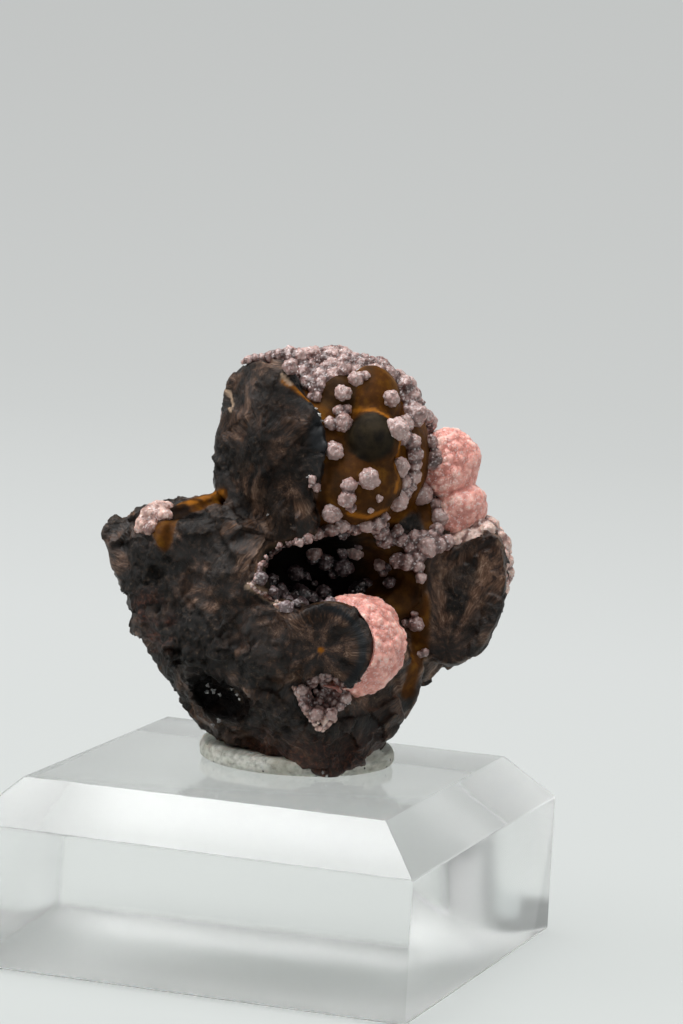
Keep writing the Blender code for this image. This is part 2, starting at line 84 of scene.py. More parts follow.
def breakOff(mesh, plane):
    # What lies beyond the plane, a point and a direction, goes; the hole is filled
    point, direction = plane
    cut = bmesh.ops.bisect_plane(mesh, geom=mesh.verts[:] + mesh.edges[:] + mesh.faces[:], dist=1e-5,
                                 plane_co=point, plane_no=direction, clear_outer=True)
    rim = [item for item in cut["geom_cut"] if isinstance(item, bmesh.types.BMEdge)]
    if rim:
        bmesh.ops.contextual_create(mesh, geom=rim)


def ball(centre, radii, detail=4, tilt=0.0, breaks=()):
    # A sphere or an ellipsoid, tilted by degrees and broken off at planes
    if not isinstance(radii, tuple):
        radii = (radii, radii, radii)
    mesh = bmesh.new()
    bmesh.ops.create_icosphere(mesh, subdivisions=detail, radius=1.0)
    spot = (Matrix.Translation(centre) @ Matrix.Rotation(math.radians(tilt), 4, "Y")
            @ Matrix.Diagonal((*radii, 1.0)))
    bmesh.ops.transform(mesh, matrix=spot, verts=mesh.verts)
    for plane in breaks:
        breakOff(mesh, plane)
    return mesh


def hullOf(corners):
    mesh = bmesh.new()
    for corner in corners:
        mesh.verts.new(corner)
    hull = bmesh.ops.convex_hull(mesh, input=mesh.verts[:])
    inside = [item for item in hull["geom_interior"] if isinstance(item, bmesh.types.BMVert)]
    bmesh.ops.delete(mesh, geom=inside, context="VERTS")
    bmesh.ops.triangulate(mesh, faces=mesh.faces[:])
    return mesh


def chunk(corners):
    # An angular broken lump: the hull of its corners, with an uneven surface
    mesh = hullOf(corners)
    bmesh.ops.subdivide_edges(mesh, edges=mesh.edges[:], cuts=9, use_grid_fill=True)
    mesh.normal_update()
    moves = [vert.normal * (0.4 * noise.noise(vert.co / 3.1) + 0.1 * noise.noise(vert.co / 1.7))
             for vert in mesh.verts]
    for vert, move in zip(mesh.verts, moves):
        vert.co += move
    return mesh


def makeObject(name, mesh):
    data = bpy.data.meshes.new(name)
    mesh.to_mesh(data)
    mesh.free()
    thing = bpy.data.objects.new(name, data)
    bpy.context.scene.collection.objects.link(thing)
    return thing


def applyModifiers(thing):
    graph = bpy.context.evaluated_depsgraph_get()
    result = bpy.data.meshes.new_from_object(thing.evaluated_get(graph))
    thing.modifiers.clear()
    old = thing.data
    thing.data = result
    bpy.data.meshes.remove(old)


def remesh(thing, grain):
    # One closed skin over everything that overlaps, with a vertex every grain millimetres
    modifier = thing.modifiers.new("remesh", "REMESH")
    modifier.mode = "VOXEL"
    modifier.voxel_size = grain
    modifier.use_smooth_shade = True
    applyModifiers(thing)


def cutAway(thing, hollows):
    group = bpy.data.collections.new("hollows")
    bpy.context.scene.collection.children.link(group)
    cutters = [makeObject("hollow", mesh) for mesh in hollows]
    for cutter in cutters:
        group.objects.link(cutter)
    modifier = thing.modifiers.new("cut", "BOOLEAN")
    modifier.operand_type = "COLLECTION"
    modifier.collection = group
    modifier.operation = "DIFFERENCE"
    modifier.solver = "EXACT"
    applyModifiers(thing)
    bpy.data.collections.remove(group)
    for cutter in cutters:
        bpy.data.objects.remove(cutter, do_unlink=True)


def keepLargest(thing):
    # Loose crumbs that a cut leaves are dropped
    mesh = bmesh.new()
    mesh.from_mesh(thing.data)
    left = set(mesh.verts)
    bodies = []
    while left:
        body = [left.pop()]
        for vert in body:
            for edge in vert.link_edges:
                other = edge.other_vert(vert)
                if other in left:
                    left.remove(other)
                    body.append(other)
        bodies.append(body)
    for body in sorted(bodies, key=len)[:-1]:
        bmesh.ops.delete(mesh, geom=body, context="VERTS")
    mesh.to_mesh(thing.data)
    mesh.free()


def points(thing):
    flat = np.empty(len(thing.data.vertices) * 3, dtype=np.float32)
    thing.data.vertices.foreach_get("co", flat)
    return flat.reshape(-1, 3).astype(np.float64)


def normals(thing):
    flat = np.empty(len(thing.data.vertices) * 3, dtype=np.float32)
    thing.data.vertex_normals.foreach_get("vector", flat)
    return flat.reshape(-1, 3).astype(np.float64)


def moveOut(thing, heights):
    # Every vertex goes out along its normal by its own height
    moved = points(thing) + normals(thing) * np.asarray(heights)[:, None]
    thing.data.vertices.foreach_set("co", moved.astype(np.float32).ravel())
    thing.data.update()


def waves(spots, length, shift=0.0):
    offset = Vector((shift, -shift, 2.0 * shift))
    return np.array([noise.noise(Vector(spot) / length + offset) for spot in spots])


def grains(spots, width):
    # 0 at the middle of a grain, about 0.5 at its edge
    return np.array([noise.voronoi(Vector(spot) / width)[0][0] for spot in spots])


def facets(spots, width, shift=0.0):
    # Height of a surface broken into flat, tilted facets about width across: -1 to 1
    moved = spots / width + shift
    cores = np.array([noise.voronoi(Vector(spot))[1][0] for spot in moved])
    seeds = cores @ np.array(((12.99, 78.23, 37.72, 11.13), (39.35, 67.35, 53.11, 83.16),
                              (73.16, 9.15, 91.71, 27.41)))
    chance = np.modf(np.abs(np.sin(seeds)) * 4375.85)[0] * 2.0 - 1.0
    return 0.5 * chance[:, 3] + ((moved - cores) * chance[:, :3]).sum(axis=1)


def keepAttribute(thing, name, kind, values):
    attribute = thing.data.attributes.new(name, kind, "POINT")
    field = {"FLOAT": "value", "FLOAT_VECTOR": "vector", "FLOAT_COLOR": "color"}
    attribute.data.foreach_set(field[kind], np.asarray(values, dtype=np.float32).ravel())


def smoothStep(low, high, value):
    share = np.clip((value - low) / (high - low), 0.0, 1.0)
    return share * share * (3.0 - 2.0 * share)


def roundness(spots, centre, radii, tilt=0.0):
    # 1 on the ellipsoid, less inside it
    if not isinstance(radii, tuple):
        radii = (radii, radii, radii)
    away = spots - np.array(centre)
    angle = math.radians(tilt)
    x = away[:, 0] * math.cos(angle) - away[:, 2] * math.sin(angle)
    z = away[:, 0] * math.sin(angle) + away[:, 2] * math.cos(angle)
    return np.sqrt((x / radii[0]) ** 2 + (away[:, 1] / radii[1]) ** 2 + (z / radii[2]) ** 2)


def anyWay(dice):
    return Vector([dice.gauss(0.0, 1.0) for _ in range(3)])


def spiral(count):
    # Ways spread evenly over a sphere: height, width of the ring at that height, and angle round it
    golden = math.pi * (3.0 - math.sqrt(5.0))
    for number in range(count):
        height = 1.0 - 2.0 * (number + 0.5) / count
        yield height, math.sqrt(1.0 - height * height), golden * number


def isBeyond(spot, plane):
    return (Vector(spot) - Vector(plane[0])).dot(Vector(plane[1])) > 0.0


def worldHeights(spots):
    rows = np.array(stonePlace)
    return (spots @ rows[2, :3] + rows[2, 3]) / mm


# From a place in the photograph to the place on the stone that is seen there, and back

def sightLine(across, down):
    middleX, middleY = stone["photoMiddle"]
    return Vector(((across - middleX) / stone["pixelsAcross"], 1.0, (middleY - down) / stone["pixelsAcross"]))


def inPixels(spot):
    scale = stone["pixelsAcross"] / (stone["viewDistance"] + spot[1])
    return stone["photoMiddle"][0] + spot[0] * scale, stone["photoMiddle"][1] - spot[2] * scale


def surfaceOf(thing):
    mesh = bmesh.new()
    mesh.from_mesh(thing.data)
    surface = BVHTree.FromBMesh(mesh)
    mesh.free()
    return surface


def seenOn(surface, across, down):
    eye = Vector((0.0, -stone["viewDistance"], 0.0))
    return surface.ray_cast(eye, sightLine(across, down).normalized())[0]


def alongPath(path, step):
    # Places every few pixels along a path of places in the photograph
    found = []
    for (x1, y1), (x2, y2) in zip(path, path[1:]):
        count = max(1, round(math.hypot(x2 - x1, y2 - y1) / step))
        found += [(x1 + (x2 - x1) * k / count, y1 + (y2 - y1) * k / count) for k in range(count)]
    return found + [path[-1]]


def finishPiece(thing, nodeName, material):
    thing.data.transform(stonePlace)
    thing.data.name = thing.name
    thing.data.shade_smooth()
    thing.data.materials.clear()
    thing.data.materials.append(material)
    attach(thing, "root")
    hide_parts(nodeName)
    stage(f"{thing.name}: {len(thing.data.polygons)} faces")


# Materials

def colour(hexCode):
    # From sRGB hex to linear
    parts = [int(hexCode[k:k + 2], 16) / 255.0 for k in (1, 3, 5)]
    linear = [part / 12.92 if part <= 0.04045 else ((part + 0.055) / 1.055) ** 2.4 for part in parts]
    return (*linear, 1.0)


def setInputs(tree, node, values):
    # Inputs by name or number, each linked or set to a constant
    for socket, value in values.items():
        if isinstance(value, bpy.types.NodeSocket):
            tree.links.new(value, node.inputs[socket])
        else:
            node.inputs[socket].default_value = value


def addNode(tree, kind, values=None, **settings):
    node = tree.nodes.new(kind)
    for name, value in settings.items():
        setattr(node, name, value)
    setInputs(tree, node, values or {})
    return node


def newMaterial(name):
    material = bpy.data.materials.new(name)
    material.use_nodes = True
    tree = material.node_tree
    return material, tree, tree.nodes["Principled BSDF"]


def ramp(tree, factor, stops):
    node = addNode(tree, "ShaderNodeValToRGB", {"Fac": factor})
    elements = node.color_ramp.elements
    while len(elements) < len(stops):
        elements.new(0.5)
    for element, (position, hexCode) in zip(elements, stops):
        element.position = position
        element.color = colour(hexCode)
    return node.outputs["Color"]


def mixColour(tree, factor, first, second):
    values = {"Factor": factor, 6: first, 7: second}
    return addNode(tree, "ShaderNodeMix", values, data_type="RGBA").outputs[2]


def calculate(tree, operation, first, second):
    return addNode(tree, "ShaderNodeMath", {0: first, 1: second}, operation=operation).outputs[0]


def scaled(tree, value, factor):
    return calculate(tree, "MULTIPLY", value, factor)


def span(tree, value, low, high, newLow=0.0, newHigh=1.0):
    return addNode(tree, "ShaderNodeMapRange", {"Value": value, "From Min": low, "From Max": high,
                                                "To Min": newLow, "To Max": newHigh}).outputs["Result"]


def attributeOf(tree, name):
    return addNode(tree, "ShaderNodeAttribute", attribute_name=name)


def fourOf(tree, name):
    # The four values that a colour attribute carries
    node = attributeOf(tree, name)
    parts = addNode(tree, "ShaderNodeSeparateColor", {"Color": node.outputs["Color"]}).outputs
    return parts["Red"], parts["Green"], parts["Blue"], node.outputs["Alpha"]


def noiseOn(tree, vector, scale, detail, roughness):
    values = {"Vector": vector, "Scale": scale, "Detail": detail, "Roughness": roughness}
    return addNode(tree, "ShaderNodeTexNoise", values).outputs["Fac"]


def fibrousGoethite():
    # Goethite broken across its fibres: near-black and silky, so each fan of fibres lights up in wedges;
    # brown in wedges and patches, partly its own colour and partly a painted sheen, blue-grey towards a rim,
    # duller on the flatter faces, and some broken faces darkened by painted shade. Its grown skin is a
    # velvety ochre with a sooty top, with painted shade in the cavity; its hollows are painted near-black as
    # shade, and its underside is earthy red-brown
    material, tree, shader = newMaterial("goethiteBrokenAcrossFibres")
    place = addNode(tree, "ShaderNodeTexCoord").outputs["Object"]
    fibre = attributeOf(tree, "fibre").outputs["Vector"]
    skin, pale, red, hollow = fourOf(tree, "masks")
    blue, rough, shade, bright = fourOf(tree, "looks")
    brownAndSheen = attributeOf(tree, "brownAndSheen").outputs["Fac"]
    fineFibres = noiseOn(tree, fibre, 26.0, 4.0, 0.65)
    bundles = noiseOn(tree, fibre, 4.5, 3.0, 0.55)
    crumbs = noiseOn(tree, place, 1.0 / (0.4 * mm), 5.0, 0.7)
    mottle = noiseOn(tree, place, 1.0 / (1.8 * mm), 4.0, 0.6)

    streak = calculate(tree, "ADD", scaled(tree, fineFibres, 0.5), scaled(tree, bundles, 0.5))
    broken = ramp(tree, streak, ((0.34, "#030201"), (0.46, "#0f0905"), (0.57, "#2b1b11"), (0.68, "#634530")))
    brown = ramp(tree, streak, ((0.30, "#0c0705"), (0.43, "#2c1c14"), (0.55, "#644a3a"), (0.68, "#a88d79")))
    # Brown in wedges and patches: partly the fibres' own colour, partly a painted sheen
    broken = mixColour(tree, brownAndSheen, broken, brown)
    bluish = ramp(tree, streak, ((0.36, "#060709"), (0.62, "#171b1f")))
    broken = mixColour(tree, blue, broken, bluish)
    crumbly = ramp(tree, crumbs, ((0.34, "#030201"), (0.50, "#0e0906"), (0.60, "#2b1e14"), (0.76, "#786655")))
    broken = mixColour(tree, rough, broken, crumbly)
    broken = mixColour(tree, scaled(tree, red, 0.8), broken,
                       ramp(tree, crumbs, ((0.34, "#0f0706"), (0.50, "#34190f"), (0.68, "#7a4634"))))
    ochre = ramp(tree, mottle, ((0.28, "#301c05"), (0.50, "#4a2a0a"), (0.72, "#6c4510")))
    ochre = mixColour(tree, scaled(tree, bright, 0.65), ochre, colour("#a5661a"))
    # Dark tops: soot on the nubs, and painted shade in the cavity and on one lump
    ochre = mixColour(tree, shade, ochre, ramp(tree, mottle, ((0.35, "#120e09"), (0.65, "#2e2619"))))
    paintedShade = attributeOf(tree, "paintedShade").outputs["Fac"]
    # Painted shade: some broken faces are mixed towards black
    broken = mixColour(tree, scaled(tree, paintedShade, 0.35), broken, colour("#060403"))
    surface = mixColour(tree, skin, broken, ochre)
    surface = mixColour(tree, pale, surface, colour("#a58c75"))
    # Painted shade: the inside of the hollows is mixed towards black
    surface = mixColour(tree, scaled(tree, hollow, 0.9), surface, colour("#030202"))

    sheen = span(tree, fineFibres, 0.3, 0.7, 0.28, 0.46)
    dull = calculate(tree, "MAXIMUM", scaled(tree, rough, 0.5), scaled(tree, skin, 0.65))
    # Less reflection on the velvety skin, its own finish, and in the hollows and on the shaded faces as
    # painted shade
    mattAndShaded = calculate(tree, "MAXIMUM", scaled(tree, skin, 0.8), hollow)
    mattAndShaded = calculate(tree, "MAXIMUM", mattAndShaded, scaled(tree, paintedShade, 0.7))
    relief = addNode(tree, "ShaderNodeBump", {"Height": fineFibres, "Distance": 0.20 * mm,
                                              "Strength": span(tree, skin, 0.0, 1.0, 0.9, 0.1)})
    grit = addNode(tree, "ShaderNodeBump", {"Height": crumbs, "Distance": 0.20 * mm,
                                            "Strength": span(tree, rough, 0.0, 1.0, 0.12, 0.9),
                                            "Normal": relief.outputs["Normal"]})
    setInputs(tree, shader, {
        "Base Color": surface, "Roughness": calculate(tree, "MAXIMUM", sheen, dull), "IOR": 1.6,
        "Specular IOR Level": span(tree, mattAndShaded, 0.0, 1.0, 0.24, 0.04), "Normal": grit.outputs["Normal"],
        "Tangent": attributeOf(tree, "fibreLine").outputs["Vector"], "Anisotropic": 0.8,
        "Anisotropic Rotation": 0.25})
    return material


def druzyRhodochrosite(name, deepAndShaded, middle, bright, grain, roughness, glow):
    # Rhodochrosite grown as a sugar of tiny crystals: each facet tips the light its own way,
    # the hollows between beads are darkened as painted shade and some crystals are whitened as painted glints
    material, tree, shader = newMaterial(name)
    place = addNode(tree, "ShaderNodeTexCoord").outputs["Object"]
    height = attributeOf(tree, "height").outputs["Fac"]
    tint = attributeOf(tree, "tint").outputs["Fac"]
    clouds = noiseOn(tree, place, 1.0 / (0.9 * mm), 4.0, 0.6)
    # Painted shade: darker where the beads' height is low, in the grooves between them
    level = calculate(tree, "ADD", scaled(tree, height, 0.55), scaled(tree, clouds, 0.45))
    level = calculate(tree, "ADD", level, span(tree, tint, 0.0, 1.0, -0.12, 0.12))
    base = ramp(tree, level, ((0.22, deepAndShaded), (0.50, middle), (0.78, bright)))
    crystals = addNode(tree, "ShaderNodeTexVoronoi", {"Vector": place, "Scale": 1.0 / (grain * mm)})
    glint = addNode(tree, "ShaderNodeSeparateColor", {"Color": crystals.outputs["Color"]}).outputs["Red"]
    # Painted glints: a few crystals are whitened as if they caught the light
    frostAndGlint = calculate(tree, "GREATER_THAN", glint, 0.86)
    base = mixColour(tree, scaled(tree, frostAndGlint, 0.35), base, colour("#f6ecea"))
    tipped = addNode(tree, "ShaderNodeVectorMath", {0: crystals.outputs["Color"], 1: (0.5, 0.5, 0.5)},
                     operation="SUBTRACT")
    tipped = addNode(tree, "ShaderNodeVectorMath", {0: tipped.outputs[0], "Scale": 0.65}, operation="SCALE")
    upright = addNode(tree, "ShaderNodeNewGeometry").outputs["Normal"]
    facing = addNode(tree, "ShaderNodeVectorMath", {0: upright, 1: tipped.outputs[0]}, operation="ADD")
    facing = addNode(tree, "ShaderNodeVectorMath", {0: facing.outputs[0]}, operation="NORMALIZE")
    sugar = addNode(tree, "ShaderNodeBump", {"Height": clouds, "Distance": 0.10 * mm, "Strength": 0.6,
                                             "Normal": facing.outputs[0]})
    setInputs(tree, shader, {
        "Base Color": base, "Roughness": span(tree, glint, 0.0, 1.0, roughness + 0.12, roughness - 0.12),
        "IOR": 1.7, "Normal": sugar.outputs["Normal"], "Subsurface Weight": glow,
        "Subsurface Radius": (1.0, 0.45, 0.35), "Subsurface Scale": 0.5 * mm})
    return material


def kneadedPutty():
    # Mineral putty kneaded and pressed flat: matt grey-white, smeared, with specks picked up from the stone
    material, tree, shader = newMaterial("mineralPuttyKneaded")
    place = addNode(tree, "ShaderNodeTexCoord").outputs["Object"]
    stretched = addNode(tree, "ShaderNodeMapping", {"Vector": place, "Rotation": (0.0, 0.0, 0.5),
                                                    "Scale": (1.0, 0.18, 1.0)}).outputs[0]
    smears = noiseOn(tree, stretched, 1.0 / (0.6 * mm), 5.0, 0.65)
    clouds = noiseOn(tree, place, 1.0 / (4.0 * mm), 3.0, 0.5)
    base = ramp(tree, smears, ((0.28, "#7c7c74"), (0.42, "#b3b2a8"), (0.58, "#d2d1c8"), (0.8, "#dedcd5")))
    base = mixColour(tree, span(tree, clouds, 0.5, 0.8), base, colour("#a4a191"))
    specks = addNode(tree, "ShaderNodeTexVoronoi", {"Vector": place, "Scale": 1.0 / (1.3 * mm)})
    spot = calculate(tree, "LESS_THAN", specks.outputs["Distance"], 0.12)
    base = mixColour(tree, spot, base, colour("#26221e"))
    relief = addNode(tree, "ShaderNodeBump", {"Height": smears, "Distance": 0.15 * mm, "Strength": 0.7})
    setInputs(tree, shader, {
        "Base Color": base, "Roughness": 0.72, "Subsurface Weight": 0.15, "Subsurface Scale": 0.6 * mm,
        "Normal": relief.outputs["Normal"]})
    return material


def polishedAcrylic():
    # Cast acrylic, polished by hand to a soft gloss on its top and sides; its underside is left as sanded,
    # which scatters what is seen through it
    material, tree, shader = newMaterial("castAcrylicPolished")
    place = addNode(tree, "ShaderNodeTexCoord").outputs["Object"]
    height = addNode(tree, "ShaderNodeSeparateXYZ", {"Vector": place}).outputs["Z"]
    setInputs(tree, shader, {
        "Base Color": colour("#fdfefd"), "Roughness": span(tree, height, 0.05 * mm, 0.3 * mm, 0.6, 0.11),
        "IOR": 1.49, "Transmission Weight": 0.94})
    return material


finishes = {
    "goethite": fibrousGoethite(),
    "lilac": druzyRhodochrosite("rhodochrositeLilacDruze", "#543a36", "#7f605b", "#b39690", 0.18, 0.36, 0.2),
    "pink": druzyRhodochrosite("rhodochrositePinkDruze", "#d08679", "#eeaa9c", "#fbd3c6", 0.16, 0.42, 0.35),
    "plum": druzyRhodochrosite("rhodochrositePlumDruze", "#150e0f", "#382b2c", "#705d5e", 0.20, 0.34, 0.1),
    "pale": druzyRhodochrosite("rhodochrositePaleDruze", "#7f5c54", "#c29d91", "#e4c5b8", 0.20, 0.40, 0.25),
    "frostAndGlint": druzyRhodochrosite("quartzFrost", "#4c4b4d", "#93908f", "#d3d0cc", 0.18, 0.30, 0.10),
    "putty": kneadedPutty(),
    "acrylic": polishedAcrylic(),
}


# The goethite: rounded and angular lumps grown into one, with its hollows cut out

